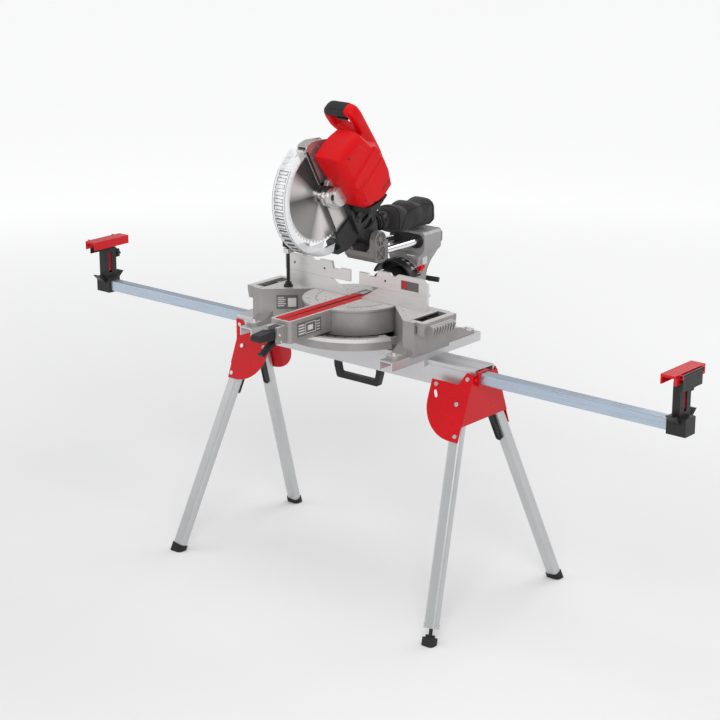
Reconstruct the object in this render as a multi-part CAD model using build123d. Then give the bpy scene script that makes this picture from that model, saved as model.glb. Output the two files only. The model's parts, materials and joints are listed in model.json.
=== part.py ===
"""Sliding compound mitre saw bolted to its folding stand.

Millimetres, +Z up, +Y away from the operator, X along the stand's beam.
Everything is first modelled with its origin on the floor under the beam's centre, and the
saw in its own frame, whose origin is the turntable's pivot on the table surface. At the end
the whole machine is shifted so that the origin is the middle of its footprint on the floor.
"""
from build123d import *
import math
import os

# ---------------------------------------------------------------- stand: driving dimensions
BEAM_LENGTH = 1030
BEAM_TOP = 815
BEAM_HEIGHT = 80
BEAM_WIDTH = 100
BEAM_LIP = 12                  # height of the wider flange along the beam's top
BEAM_STEP = 4                  # how far the beam's side stands back below that flange
BEAM_WALL = 3
ARM_SIZE = 38                  # square tube of the extension arms
ARM_WALL = 2
ARM_OFFSET = 22                # the two arms run side by side inside the beam
ARM_TIP = 1270                 # half of the extended span
ARM_OVERLAP = 250              # length of arm still inside the beam when extended
ARM_Z = BEAM_TOP - 28          # centre of the arms

SHEET = 3                      # bracket sheet thickness
SPLAY = 21                     # legs lean out from the beam, front and back
TOE_OUT = 7                    # and along the beam
PIVOT_IN = 33                  # leg pivot, inboard of the beam's end
PIVOT_Z = 700
PIVOT_Y = {"left": 38, "right": 78}     # the left pair folds up between the right pair
LEG_WIDE, LEG_THICK, LEG_WALL = 46, 32, 2.2
LEG_PIN = 5
FOLD_GAP = 1.5                 # leg to bracket sheet
ARC = 118                      # radius of the bracket's lower edge about the pivot
FLOOR_RUN = PIVOT_Z / (math.cos(math.radians(SPLAY)) * math.cos(math.radians(TOE_OUT)))
TUBE_END = FLOOR_RUN - 17
LEVER_HINGE = 68

SUPPORT_TOP = 960              # work support height, level with the saw's table
POST_X = ARM_TIP - 30

# ---------------------------------------------------------------- saw: driving dimensions
BASE_HEIGHT = 115
MOUNT_RAIL = 30
TABLE_Z = BEAM_TOP + MOUNT_RAIL + BASE_HEIGHT
SAW_Y = -27                    # turntable pivot, in front of the beam's centre line
FOOT_X, FOOT_FRONT, FOOT_BACK = 300, -163, 216
TABLE_R = 172
DRUM_R = 165
SCALE_R = 240
MITRE_ARM = 42                 # half width
ARM_FRONT = -365
FENCE_HALF = 300
FENCE_LOW, FENCE_TOP = 48, 105
CLAMP_X = -258                   # the work clamp's post, behind the left fence
CLAMP_Y = 48
FENCE_GAP = 24                 # from the blade to each lower fence, at the table
BEVEL_CLEAR = math.tan(math.radians(50))
RAIL_X, RAIL_Z, RAIL_R = 45, 145, 12.5
TOWER_FRONT, TOWER_BACK = 275, 365
CHOP_Y, CHOP_Z = 50, 195       # the head's hinge, with the head slid forward
RAISE = 52.5                   # the head's rest angle above its lowest position
HUB_Y, HUB_Z = 274, 71         # that hinge seen from the blade's centre, head lowered
BLADE_R, BLADE_T, TEETH = 152.5, 2.4, 60
GUARD_R = 176                  # upper guard
GUARD_SWING = 125                # the lower guard's turn while the head comes down
SHROUD_R = 192                 # lower guard
NOZZLE_Z = 232


# ---------------------------------------------------------------- helpers
def block(x, y, z):
    """A box from three (low, high) pairs."""
    size = [hi - lo for lo, hi in (x, y, z)]
    middle = [(hi + lo) / 2 for lo, hi in (x, y, z)]
    return Pos(*middle) * Box(*size)


def outline(points, radius=0):
    """A closed face through the points, with its corners rounded."""
    face = make_face(Polyline(*points, close=True))
    return fillet(face.vertices(), radius) if radius else face


def along_x(face, low, high):
    """A face drawn in (y, z), extruded from x = low to x = high."""
    return extrude(Plane.YZ.offset(low) * face, amount=high - low)


def along_y(face, low, high):
    """A face drawn in (x, z), extruded from y = low to y = high."""
    return extrude(Plane.XZ.offset(-high) * face, amount=high - low)


def along_z(face, low, high):
    """A face drawn in (x, y), extruded from z = low to z = high."""
    return extrude(Plane.XY.offset(low) * face, amount=high - low)


def rod(start, end, radius):
    """A cylinder between two points."""
    start, end = Vector(*start), Vector(*end)
    run = end - start
    return extrude(Plane(origin=start, z_dir=run) * Circle(radius), amount=run.length)


def rod_x(y, z, radius, low, high):
    return rod((low, y, z), (high, y, z), radius)


def rod_y(x, z, radius, low, high):
    return rod((x, low, z), (x, high, z), radius)


def rod_z(x, y, radius, low, high):
    return rod((x, y, low), (x, y, high), radius)


def sector(radius, first, last):
    """A pie slice about the origin, from one angle to another, in degrees."""
    middle = (first + last) / 2
    edge = [(radius * math.cos(math.radians(a)), radius * math.sin(math.radians(a)))
            for a in (first, middle, last)]
    return make_face([Line((0, 0), edge[0]), ThreePointArc(*edge), Line(edge[2], (0, 0))])


def group(*shapes):
    """Separate solids that share one node."""
    return Compound(children=[s for shape in shapes for s in shape.solids()])


# ---------------------------------------------------------------- stand: beam and arms
def main_beam():
    half, low = BEAM_WIDTH / 2, BEAM_TOP - BEAM_HEIGHT
    side = half - BEAM_STEP
    lip = BEAM_TOP - BEAM_LIP
    section = outline([(-half, BEAM_TOP), (half, BEAM_TOP), (half, lip), (side, lip - 3),
                       (side, low), (-side, low), (-side, lip - 3), (-half, lip)])
    beam = along_x(section, -BEAM_LENGTH / 2, BEAM_LENGTH / 2)
    inner = side - BEAM_WALL
    for low_y, high_y in ((-inner, -BEAM_WALL / 2), (BEAM_WALL / 2, inner)):
        beam -= block((-BEAM_LENGTH, BEAM_LENGTH), (low_y, high_y),
                      (low + BEAM_WALL, BEAM_TOP - BEAM_WALL))
    for groove in (-28, 28):
        beam -= block((-BEAM_LENGTH, BEAM_LENGTH), (groove - 3, groove + 3), (BEAM_TOP - 1, BEAM_TOP))
    return beam


def extension_arm(side):
    """side is -1 for the left arm, at the back of the beam, and 1 for the right arm."""
    y = -side * ARM_OFFSET
    ends = sorted((side * ARM_TIP, side * (BEAM_LENGTH / 2 - ARM_OVERLAP)))
    tube = along_x(Pos(y, ARM_Z) * RectangleRounded(ARM_SIZE, ARM_SIZE, 4), *ends)
    core = along_x(Pos(y, ARM_Z) * Rectangle(ARM_SIZE - 2 * ARM_WALL, ARM_SIZE - 2 * ARM_WALL),
                   ends[0] - 1, ends[1] + 1)
    return tube - core


def arm_lock(side):
    """Knob with a stem that pinches the arm where it leaves the beam."""
    x, y = side * (BEAM_LENGTH / 2 + SHEET + 6.5), -side * ARM_OFFSET - ARM_SIZE / 2
    lock = rod_y(x, ARM_Z, 3, y - 14, y - 0.5) + rod_y(x, ARM_Z, 5.8, y - 24, y - 8)
    return chamfer(lock.faces().sort_by(Axis.Y)[0].edges(), 2)


def carry_handle():
    top, low = BEAM_TOP - BEAM_HEIGHT, BEAM_TOP - BEAM_HEIGHT - 72
    outer = outline([(-104, top), (-104, top - 30), (-92, low), (86, low), (98, top - 30), (98, top)])
    inner = outline([(-84, top + 1), (-84, top - 26), (-78, low + 20), (72, low + 20),
                     (78, top - 26), (78, top + 1)], 6)
    handle = along_y(outer - inner, -10, 10)
    return fillet(handle.edges().filter_by(Axis.Y).group_by(Axis.Z)[0], 9)


# ---------------------------------------------------------------- stand: legs
def leg_plane(side, face, lift=0):
    """The plane a leg folds in, with its origin at the leg's pivot: local x runs inboard along
    the beam, local y up the splayed plane, local z out of it. lift moves it outwards."""
    splay = math.radians(SPLAY)
    name = "left" if side < 0 else "right"
    pivot = Vector(side * (BEAM_LENGTH / 2 - PIVOT_IN), face * PIVOT_Y[name], PIVOT_Z)
    out = Vector(0, face * math.cos(splay), math.sin(splay))
    up = Vector(0, -face * math.sin(splay), math.cos(splay))
    inboard = Vector(-side, 0, 0)
    right_handed = inboard.cross(up).dot(out) > 0
    # a mirrored corner draws the same outline from the sheet's other side
    return pivot + out * lift, inboard, up, out, right_handed


def in_leg_plane(side, face, sketch, low, high):
    """Extrudes a sketch drawn in a leg's plane from one height off it to another."""
    origin, inboard, up, out, right_handed = leg_plane(side, face)
    normal = inboard.cross(up)
    plane = Plane(origin=origin, x_dir=inboard, z_dir=normal)
    if not right_handed:
        low, high = -high, -low
    return extrude(plane.offset(low) * sketch, amount=high - low)


def down_leg(run, across=0):
    """A point in a leg's plane: run along the leg from its pivot, across towards the beam's middle."""
    toe = math.radians(TOE_OUT)
    return (-run * math.sin(toe) + across * math.cos(toe), -run * math.cos(toe) - across * math.sin(toe))


def leg_bar(low, high, wide, radius=0):
    """A bar's outline along the leg, from one run to another."""
    half = wide / 2
    corners = [down_leg(low, -half), down_leg(high, -half), down_leg(high, half), down_leg(low, half)]
    return outline(corners, radius)


def leg_section(side, face, wide, thick, radius, start, end):
    """A rounded tube section swept straight down the leg."""
    origin, inboard, up, out, right_handed = leg_plane(side, face)
    toe = math.radians(TOE_OUT)
    run = inboard * -math.sin(toe) + up * -math.cos(toe)
    across = inboard * math.cos(toe) + up * -math.sin(toe)
    plane = Plane(origin=origin + run * start, x_dir=across, z_dir=run)
    return extrude(plane * RectangleRounded(wide, thick, radius), amount=end - start)


def leg_tube(side, face):
    tube = leg_section(side, face, LEG_WIDE, LEG_THICK, 11, -23, TUBE_END)
    tube -= leg_section(side, face, LEG_WIDE - 2 * LEG_WALL, LEG_THICK - 2 * LEG_WALL, 8, -25, TUBE_END + 1)
    return tube - in_leg_plane(side, face, Circle(LEG_PIN + 0.08), -LEG_THICK, LEG_THICK)


def floor_cut(shape):
    return shape - block((-900, 900), (-600, 600), (-100, 0))


def rubber_foot(side, face):
    cap = leg_section(side, face, LEG_WIDE + 6, LEG_THICK + 6, 13, TUBE_END - 6, FLOOR_RUN + 22)
    cap -= leg_section(side, face, LEG_WIDE, LEG_THICK, 11, TUBE_END - 30, TUBE_END)
    return floor_cut(cap)


def levelling_foot():
    """Threaded stem and pad under the front right leg, which ends short for it."""
    stem = leg_section(1, -1, 12, 12, 5.9, TUBE_END - 60, FLOOR_RUN - 14)
    pad = leg_section(1, -1, 46, 36, 12, FLOOR_RUN - 22, FLOOR_RUN + 24)
    collar = leg_section(1, -1, 30, 22, 8, FLOOR_RUN - 30, FLOOR_RUN - 21)
    return floor_cut(stem + pad + collar)


def levelling_leg():
    """The front right leg stops short, and an end plug carries the levelling foot's thread."""
    tube = leg_section(1, -1, LEG_WIDE, LEG_THICK, 11, -23, TUBE_END - 34)
    tube -= leg_section(1, -1, LEG_WIDE - 2 * LEG_WALL, LEG_THICK - 2 * LEG_WALL, 8, -25, TUBE_END)
    plug = leg_section(1, -1, LEG_WIDE - 2 * LEG_WALL, LEG_THICK - 2 * LEG_WALL, 8,
                       TUBE_END - 60, TUBE_END - 34)
    band = leg_section(1, -1, LEG_WIDE + 3, LEG_THICK + 3, 12, TUBE_END - 48, TUBE_END - 34)
    tube += plug + band
    tube -= leg_section(1, -1, 13, 13, 6.4, TUBE_END - 62, TUBE_END)
    return tube - in_leg_plane(1, -1, Circle(LEG_PIN + 0.08), -LEG_THICK, LEG_THICK)


def leg_lever(side, face):
    """Release lever on the leg's inner side, turning on a rivet at its top."""
    inner = -LEG_THICK / 2 - 0.4
    paddle = leg_bar(LEVER_HINGE - 12, LEVER_HINGE + 98, 22, 9)
    paddle = Pos(*down_leg(0, 7)) * paddle
    lever = in_leg_plane(side, face, paddle, inner - 10, inner)
    grip = Pos(*down_leg(0, 7)) * leg_bar(LEVER_HINGE + 30, LEVER_HINGE + 92, 14, 5)
    lever -= in_leg_plane(side, face, grip, inner - 11, inner - 7.5)
    rivet = Pos(*down_leg(LEVER_HINGE, 7)) * Circle(5)
    return lever + in_leg_plane(side, face, rivet, inner - 12, inner)


def side_sheet(side, face):
    """One splayed side of a leg bracket, with its quarter-round lower edge about the pivot."""
    near = LEG_THICK / 2 + FOLD_GAP
    top = 104 if side > 0 else 27
    if side > 0:
        upper = [(-PIVOT_IN, top), (-8, top), (14, 62), (ARC, 62), (ARC, 0)]
    else:
        upper = [(-PIVOT_IN, top), (ARC, top), (ARC, 0)]
    lines = [Line(a, b) for a, b in zip(upper, upper[1:])]
    turn = ARC * math.cos(math.radians(45))
    arc = ThreePointArc((ARC, 0), (turn, -turn), (0, -ARC))
    rest = [Line((0, -ARC), (-PIVOT_IN, -ARC)), Line((-PIVOT_IN, -ARC), (-PIVOT_IN, top))]
    sketch = make_face(lines + [arc] + rest)
    sketch -= Circle(LEG_PIN + 0.08)
    sketch -= Pos(92, 18) * SlotOverall(26, 12, rotation=60)
    sheet = in_leg_plane(side, face, sketch, near, near + SHEET)
    if side < 0:
        flat = BEAM_WIDTH / 2 - BEAM_STEP
        end = -BEAM_LENGTH / 2
        cheek = outline([(end, 724), (end, 797), (end + 26, 797), (end + 48, 762),
                         (end + 150, 762), (end + 150, 724)])
        low, high = sorted((face * flat, face * (flat + SHEET)))
        sheet += along_y(cheek, low, high)
    return sheet


def leg_bracket(side):
    """Two splayed side sheets joined by an end sheet that the extension arm runs through."""
    near = LEG_THICK / 2 + FOLD_GAP + SHEET
    lean = math.tan(math.radians(SPLAY))
    name = "left" if side < 0 else "right"
    base = PIVOT_Y[name] + near / math.cos(math.radians(SPLAY))
    low = 645
    if side > 0:
        edge = [(base - (797 - PIVOT_Z) * lean, 797), (base + (PIVOT_Z - low) * lean, low)]
    else:
        flat = BEAM_WIDTH / 2 - BEAM_STEP + SHEET
        edge = [(flat, 797), (flat, 726), (base + (PIVOT_Z - low) * lean, low)]
    face = outline(edge + [(-y, z) for y, z in reversed(edge)])
    window = Pos(-side * ARM_OFFSET, ARM_Z) * Rectangle(ARM_SIZE + 1.6, ARM_SIZE + 1.6)
    ends = sorted((side * BEAM_LENGTH / 2, side * (BEAM_LENGTH / 2 + SHEET)))
    bracket = along_x(face - window, *ends)
    for front in (-1, 1):
        bracket += side_sheet(side, front)
    beam_space = block((-BEAM_LENGTH / 2, BEAM_LENGTH / 2), (-BEAM_WIDTH / 2, BEAM_WIDTH / 2),
                       (BEAM_TOP - BEAM_LIP - 3, BEAM_TOP + 5))
    collar = Pos(-side * ARM_OFFSET, ARM_Z) * (
        Rectangle(ARM_SIZE + 14, ARM_SIZE + 8) - Rectangle(ARM_SIZE + 1.6, ARM_SIZE + 1.6))
    ends = sorted((side * (BEAM_LENGTH / 2 + SHEET), side * (BEAM_LENGTH / 2 + SHEET + 12)))
    x, y = side * (BEAM_LENGTH / 2 + SHEET + 6.5), -side * ARM_OFFSET - ARM_SIZE / 2
    return bracket - beam_space + along_x(collar, *ends) - rod_y(x, ARM_Z, 3.06, y - 10, y + 1)


def stand_bolts():
    """Leg pivot bolts with nuts, and the bolt heads on the bracket sides."""
    near = LEG_THICK / 2 + FOLD_GAP + SHEET
    parts = []
    for side in (-1, 1):
        for face in (-1, 1):
            head = RegularPolygon(8, 6)
            pivot = in_leg_plane(side, face, head, near, near + 6)
            pivot += in_leg_plane(side, face, Circle(LEG_PIN), -LEG_THICK / 2 - 1, near)
            pivot += in_leg_plane(side, face, RegularPolygon(8, 6), -LEG_THICK / 2 - 7, -LEG_THICK / 2 - 1)
            parts.append(pivot)
            spots = [(-20, -100)] + ([(-18, 84), (96, 48)] if side > 0 else [])
            for spot in spots:
                parts.append(in_leg_plane(side, face, Pos(*spot) * Circle(7), near, near + 4))
            if side < 0:
                y = face * (BEAM_WIDTH / 2 - BEAM_STEP + SHEET)
                for x, z in ((-500, 780), (-390, 748)):
                    parts.append(rod((x, y, z), (x, y + face * 4, z), 7))
    return group(*parts)


# ---------------------------------------------------------------- stand: work supports
def support_post(side):
    """Saddle clamped on the arm's end, with a slotted upright."""
    y = -side * ARM_OFFSET
    inner, outer = POST_X - 32, POST_X + 34
    top = ARM_Z + ARM_SIZE / 2
    x = sorted((side * inner, side * outer))
    saddle = block(x, (y - 27, y + 27), (ARM_Z - 26, top + 10))
    saddle -= block(sorted((side * (inner - 1), side * ARM_TIP)), (y - 19.2, y + 19.2),
                    (ARM_Z - 19.2, ARM_Z + 19.2))
    wings = outline([(y - 62, top + 22), (y - 52, top + 22), (y - 27, top + 4), (y + 27, top + 4),
                     (y + 52, top + 22), (y + 62, top + 22), (y + 30, top - 8), (y - 30, top - 8)])
    saddle += along_x(wings, *sorted((side * (POST_X - 16), side * (POST_X + 16)))) - block(
        (-1400, 1400), (y - 19.2, y + 19.2), (ARM_Z - 19.2, ARM_Z + 19.2))
    post_x = (side * POST_X - 13, side * POST_X + 13)
    post = block(post_x, (y - 30, y + 30), (top + 8, SUPPORT_TOP - 36))
    post -= block((post_x[0] + 4, post_x[1] - 4), (y - 23, y + 23), (top + 14, SUPPORT_TOP))
    post -= block((post_x[0] - 1, post_x[1] + 1), (y - 6, y + 8), (top + 26, SUPPORT_TOP - 52))
    post -= rod_y(side * POST_X, SUPPORT_TOP - 62, 4.4, y + 20, y + 31)
    return saddle + post


def support_head(side):
    """Red table on a tongue that slides in the upright."""
    y, x = -side * ARM_OFFSET, side * POST_X
    tray = block((x - 24, x + 24), (y - 85, y + 85), (SUPPORT_TOP - 8, SUPPORT_TOP))
    tray += block((x - 24, x - 20), (y - 85, y + 85), (SUPPORT_TOP - 30, SUPPORT_TOP - 8))
    tray += block((x + 20, x + 24), (y - 85, y + 85), (SUPPORT_TOP - 30, SUPPORT_TOP - 8))
    hinge = x + side * 31
    for end in (-1, 1):
        lug = sorted((y + end * 56.5, y + end * 62))
        tray += block(sorted((x + side * 24, x + side * 37)), lug, (SUPPORT_TOP - 14, SUPPORT_TOP - 0.5))
    tray -= rod_y(hinge, SUPPORT_TOP - 7, 5.06, y - 64, y + 64)
    tongue = block((x - 8.5, x + 8.5), (y - 22, y + 22), (SUPPORT_TOP - 122, SUPPORT_TOP - 8))
    tongue -= block((x - 9, x + 9), (y - 5, y + 7), (SUPPORT_TOP - 110, SUPPORT_TOP - 52))
    return tray + tongue


def support_knob(side):
    """Star knob with a threaded stem that pinches the tongue through the upright."""
    y, x, z = -side * ARM_OFFSET + 30, side * POST_X, SUPPORT_TOP - 62
    star = Circle(13)
    for turn in range(6):
        a = math.radians(60 * turn)
        star += Pos(12 * math.cos(a), 12 * math.sin(a)) * Circle(5)
    knob = along_y(Pos(x, z) * star, y + 6, y + 20)
    return knob + rod_y(x, z, 9, y + 0.6, y + 6) + rod_y(x, z, 4, y - 7, y + 1)


def stop_flap(side):
    """Stop that hangs outside the work support and flips up above it."""
    y = -side * ARM_OFFSET
    hinge = side * (POST_X + 31)
    z = SUPPORT_TOP - 7
    low, high = sorted((hinge - side * 2, hinge + side * 3))
    flap = block((low, high), (y - 55, y + 55), (z - 46, z))
    return flap + rod_y(hinge, z, 5, y - 62, y + 62)


def mount_rails():
    """Two channels clamped across the beam. The saw's feet bolt down to them."""
    parts = []
    for x in (-FOOT_X, FOOT_X):
        rail = block((x - 26, x + 26), (-232, 232), (BEAM_TOP, BEAM_TOP + MOUNT_RAIL))
        rail -= block((x - 22, x + 22), (-240, 240), (BEAM_TOP - 1, BEAM_TOP + MOUNT_RAIL - 4))
        rail += block((x - 22, x + 22), (-72, 72), (BEAM_TOP, BEAM_TOP + MOUNT_RAIL - 4))
        for face in (-1, 1):
            lip = BEAM_TOP - BEAM_LIP - 3.2
            y = sorted((face * 50.3, face * 64))
            rail += block((x - 22, x + 22), y, (lip - 8, BEAM_TOP))
            y = sorted((face * 46.4, face * 64))
            rail += block((x - 22, x + 22), y, (lip - 8, lip))
        for y in (SAW_Y + FOOT_FRONT, SAW_Y + FOOT_BACK):
            rail -= rod_z(x, y, 5.5, BEAM_TOP - 1, BEAM_TOP + MOUNT_RAIL + 1)
        parts.append(rail)
    return group(*parts)


# ---------------------------------------------------------------- saw: base
def base_block(side):
    """One hollow table of the base, beside the turntable, open at its outer end for the extension."""
    plan = [(178, -6), (300, -120), (345, -120), (345, 64), (150, 64), (150, 20)]
    core = [(187, -8), (302, -115), (340, -115), (340, 59), (155, 59), (155, 22)]
    table = along_z(outline([(side * x, y) for x, y in plan]), -BASE_HEIGHT, 0)
    table -= along_z(outline([(side * x, y) for x, y in core]), -BASE_HEIGHT - 1, -5)
    table += along_z(outline([(side * x, y) for x, y in plan]), -74, -70)
    return table - block(sorted((side * 316, side * 346)), (-110.5, 56.5), (-12.6, 1))


def base_foot(side, y, towards, reach):
    """A tapered bolt-down foot, reach being its length back from the bolt."""
    x = side * FOOT_X
    plan = outline([(x - 26, y - towards * reach), (x + 26, y - towards * reach), (x + 22, y + towards * 12),
                    (x + 12, y + towards * 24), (x - 12, y + towards * 24), (x - 22, y + towards * 12)])
    top = [(y - towards * (reach + 2), -60), (y - towards * 62, -78), (y - towards * 14, -102)]
    side_view = top + [(y + towards * 26, -102), (y + towards * 26, -BASE_HEIGHT),
                       (y - towards * (reach + 2), -BASE_HEIGHT)]
    foot = along_z(plan, -BASE_HEIGHT, -50) & along_x(outline(side_view), -400, 400)
    core = [(y - towards * (reach + 3), -68), (y - towards * 62, -86), (y - towards * 20, -107),
            (y - towards * 20, -BASE_HEIGHT - 1), (y - towards * (reach + 3), -BASE_HEIGHT - 1)]
    foot -= along_x(outline(core), x - 19, x + 19)
    return foot - rod_z(x, y, 5.5, -BASE_HEIGHT - 1, -60)


def base_casting():
    """Base with two tables, front skirt, floor with the pivot boss, and four feet."""
    base = base_block(-1) + base_block(1)
    skirt = sector(SCALE_R, -160, -20) - Circle(SCALE_R - 8)
    base += along_z(skirt, -BASE_HEIGHT, -80)
    ledge = sector(SCALE_R, -160, -20) - Circle(196)
    base += along_z(ledge, -86, -80)
    floor = Circle(200) - Circle(52)
    for turn in range(8):
        a = 22.5 + 45 * turn
        hole = Pos(126 * math.cos(math.radians(a)), 126 * math.sin(math.radians(a))) * Circle(44)
        floor -= hole
    base += along_z(floor, -BASE_HEIGHT, -110)
    base += along_z(Circle(40) - Circle(14.05), -BASE_HEIGHT, -92)
    base += along_z(Circle(205) - Circle(196), -BASE_HEIGHT, -92)
    base += along_z(sector(205, -160, -20) - Circle(196), -BASE_HEIGHT, -80)
    for a in (-62, -90, -118, 40, 90, 140):
        rib = Pos(116, 0) * Rectangle(168, 6)
        base += along_z(Rot(0, 0, a) * rib, -BASE_HEIGHT, -94)
    base += block((-345, 345), (58, 64), (-BASE_HEIGHT, -94))
    base += rod_z(CLAMP_X, CLAMP_Y, 13, -40, -4)
    base -= rod_z(CLAMP_X, CLAMP_Y, 8.06, -41, 1)
    pocket = rod_z(0, 0, TABLE_R + 2, -91.5, 1)
    base -= pocket
    behind = block((-152, 152), (10, 400), (-91.5, 1))
    base -= behind
    for side in (-1, 1):
        base += base_foot(side, FOOT_FRONT, -1, 96) - pocket
        base += base_foot(side, FOOT_BACK, 1, 156)
        for y in (-78, 26):
            base -= rod_x(y, -30, 8.1, *sorted((side * 330, side * 346)))
    return base


def table_extension(side):
    """Slide-out work support: a frame at table height with a ribbed grip, on two rods."""
    strip = block(sorted((side * 356, side * 378)), (-110, 56), (-12, 0))
    for low, high in ((-110, -92), (38, 56)):
        strip += block(sorted((side * 319, side * 356)), (low, high), (-12, 0))
    front = outline([(side * 362, -12), (side * 384, -12), (side * 396, -22), (side * 390, -46), (side * 362, -46)])
    grip = along_y(front, -84, 32)
    for step in range(8):
        y = -76 + 14 * step
        grip -= block(sorted((side * 386, side * 400)), (y - 3.5, y + 3.5), (-47, -19))
    ends = along_y(outline([(side * 350, -12), (side * 378, -12), (side * 372, -42), (side * 350, -42)]), -110, 56)
    ends -= block(sorted((side * 340, side * 362)), (-66, 14), (-50, -12))
    for y in (-78, 26):
        ends += rod_x(y, -30, 8, *sorted((side * 280, side * 362)))
    return strip + grip + ends


def clamp_post():
    """Post and arm of the work clamp, which swings round behind the left fence."""
    post = rod_z(CLAMP_X, CLAMP_Y, 8, -38, 134) + rod_z(CLAMP_X, CLAMP_Y, 12, 0.3, 14)
    arm = block((CLAMP_X - 10, CLAMP_X + 10), (-50, 60), (116, 132))
    return post + arm - rod_z(CLAMP_X, -38, 6.06, 110, 140)


def clamp_screw():
    screw = rod_z(CLAMP_X, -38, 6, 6, 146) + rod_z(CLAMP_X, -38, 16, 0.6, 6) + rod_z(CLAMP_X, -38, 11, 6, 16)
    knob = rod_z(CLAMP_X, -38, 18, 138, 158)
    for turn in range(6):
        a = math.radians(60 * turn)
        knob -= rod_z(CLAMP_X + 21 * math.cos(a), -38 + 21 * math.sin(a), 6, 130, 165)
    return screw + knob


# ---------------------------------------------------------------- saw: fences
def lower_fence():
    """Two halves, cut back from the blade so that it can tilt either way."""
    halves = []
    for side in (-1, 1):
        slope = FENCE_GAP + BEVEL_CLEAR * FENCE_LOW + 22
        face = outline([(side * x, z) for x, z in (
            (FENCE_GAP, 0.5), (182, 0.5), (182, 0), (FENCE_HALF, 0), (FENCE_HALF, FENCE_LOW), (slope, FENCE_LOW))])
        half = along_y(face, 0, 12)
        foot = outline([(side * x, z) for x, z in (
            (184, 0), (FENCE_HALF - 4, 0), (FENCE_HALF - 4, 10), (184, 10))])
        half += along_y(foot, 12, 34)
        for x in (100, 150, 220, 280):
            rib = outline([(12, 0.6), (30, 0.6), (12, FENCE_LOW - 4)])
            half += along_x(rib, *sorted((side * (x - 3), side * (x + 3))))
        halves.append(half)
    return group(*halves)


def sliding_fence(side):
    """Upper fence with a stepped top, that slides outwards to clear a tilted head."""
    low = FENCE_LOW + 0.4
    face = outline([(side * x, z) for x, z in (
        (20, low), (20, 88), (60, 88), (66, 82), (92, 82), (98, FENCE_TOP), (150, FENCE_TOP),
        (156, 96), (172, 96), (182, FENCE_TOP), (FENCE_HALF - 6, FENCE_TOP), (FENCE_HALF + 4, 96),
        (FENCE_HALF + 4, low))])
    plate = along_y(face, 0, 9)
    stiffener = block(sorted((side * 110, side * FENCE_HALF)), (9, 20), (low, low + 9))
    plate += stiffener
    for x in (130, 262):
        plate -= rod_y(side * x, 76, 4, -1, 10)
    return plate + rod_y(side * 240, 62, 13, 9, 34) - rod_y(side * 240, 62, 5, 30, 35)


# ---------------------------------------------------------------- saw: turntable
def turntable():
    """Round table with the mitre arm in front and the bevel hub behind."""
    table = rod_z(0, 0, TABLE_R, -7, 0) + rod_z(0, 0, DRUM_R, -86, -7)
    table += along_z(outline([(-MITRE_ARM, ARM_FRONT), (MITRE_ARM, ARM_FRONT), (MITRE_ARM, 0),
                              (-MITRE_ARM, 0)], 12), -72, 0)
    table += block((-46, 46), (120, 252), (-84, -14))
    table += rod_y(0, 0, 40, 196, 252) - block((-50, 50), (190, 260), (-90, -84))
    table -= rod_z(0, 0, DRUM_R - 5, -87, -7) - block((-MITRE_ARM, MITRE_ARM), (-200, 200), (-90, 0))
    table -= block((-41, 41), (125, 247), (-85, -19))
    table -= block((-37, 37), (100, 122), (-87, -7))
    trough = outline([(-5, 1), (5, 1), (36, -30), (36, -73), (-36, -73), (-36, -30)])
    table -= along_y(trough, ARM_FRONT + 8, 96)
    seat = outline([(-33.4, ARM_FRONT + 10), (33.4, ARM_FRONT + 10), (33.4, 40), (-33.4, 40)], 8)
    table -= along_z(seat, -3.2, 1)
    table -= block((-33.4, 33.4), (20, 96), (-3.2, 1))
    table += rod_z(0, 0, 14, -BASE_HEIGHT + 2, -86) + block((-MITRE_ARM, MITRE_ARM), (-30, 30), (-86, -78))
    table -= rod_y(0, 0, 12.05, 190, 260)
    neck = block((-24, 24), (ARM_FRONT - 38, ARM_FRONT + 2), (-68, -14))
    neck -= block((-14.5, 14.5), (ARM_FRONT - 40, ARM_FRONT - 2), (-80, -5))
    neck += rod_x(ARM_FRONT - 26, -38, 4, -22, 22) + rod_x(ARM_FRONT - 20, -62, 3, -22, 22)
    return table + neck


def kerf_plate():
    """Red insert in two halves either side of the blade's slot, undercut for a tilted blade."""
    front = ARM_FRONT + 11
    halves = []
    for side in (-1, 1):
        plan = outline([(side * x, y) for x, y in (
            (3.6, front), (23, front), (33, front + 10), (33, 22), (18, 46), (3.6, 46))])
        half = along_z(plan, -3, 0)
        half -= along_y(outline([(side * 3, 0.1), (side * 3.4, -0.2), (side * 8, -4), (side * 3, -4)]), front - 1, 60)
        for y in (-330, -190, -80, 8):
            half -= rod_z(side * 26, y, 2.5, -1.2, 1)
        halves.append(half)
    return group(*halves)


def mitre_lock_grip():
    """Cam handle in the fork at the arm's front."""
    y, z = ARM_FRONT - 26, -38
    side = outline([(y + 8, z + 10), (y - 14, z + 12), (y - 30, z + 16), (y - 84, z + 11), (y - 90, z + 2),
                    (y - 88, z - 9), (y - 30, z - 15), (y - 14, z - 11), (y + 8, z - 9)])
    grip = along_x(side, -19, 19)
    grip -= block((-20, -13), (y - 16, y + 20), (z - 20, z + 20))
    grip -= block((13, 20), (y - 16, y + 20), (z - 20, z + 20))
    grip = chamfer(grip.edges().group_by(Axis.Y)[0], 3)
    return grip - rod_x(y, z, 4.1, -30, 30)


def detent_lever():
    y, z = ARM_FRONT - 20, -62
    side = outline([(y + 8, z + 5), (y - 8, z + 6), (y - 40, z - 12), (y - 62, z - 30), (y - 68, z - 34),
                    (y - 72, z - 27), (y - 74, z - 31), (y - 68, z - 39), (y - 36, z - 22), (y - 8, z - 8),
                    (y + 8, z - 7)])
    return along_x(side, -12, 12) - rod_x(y, z, 3.1, -20, 20)


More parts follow.
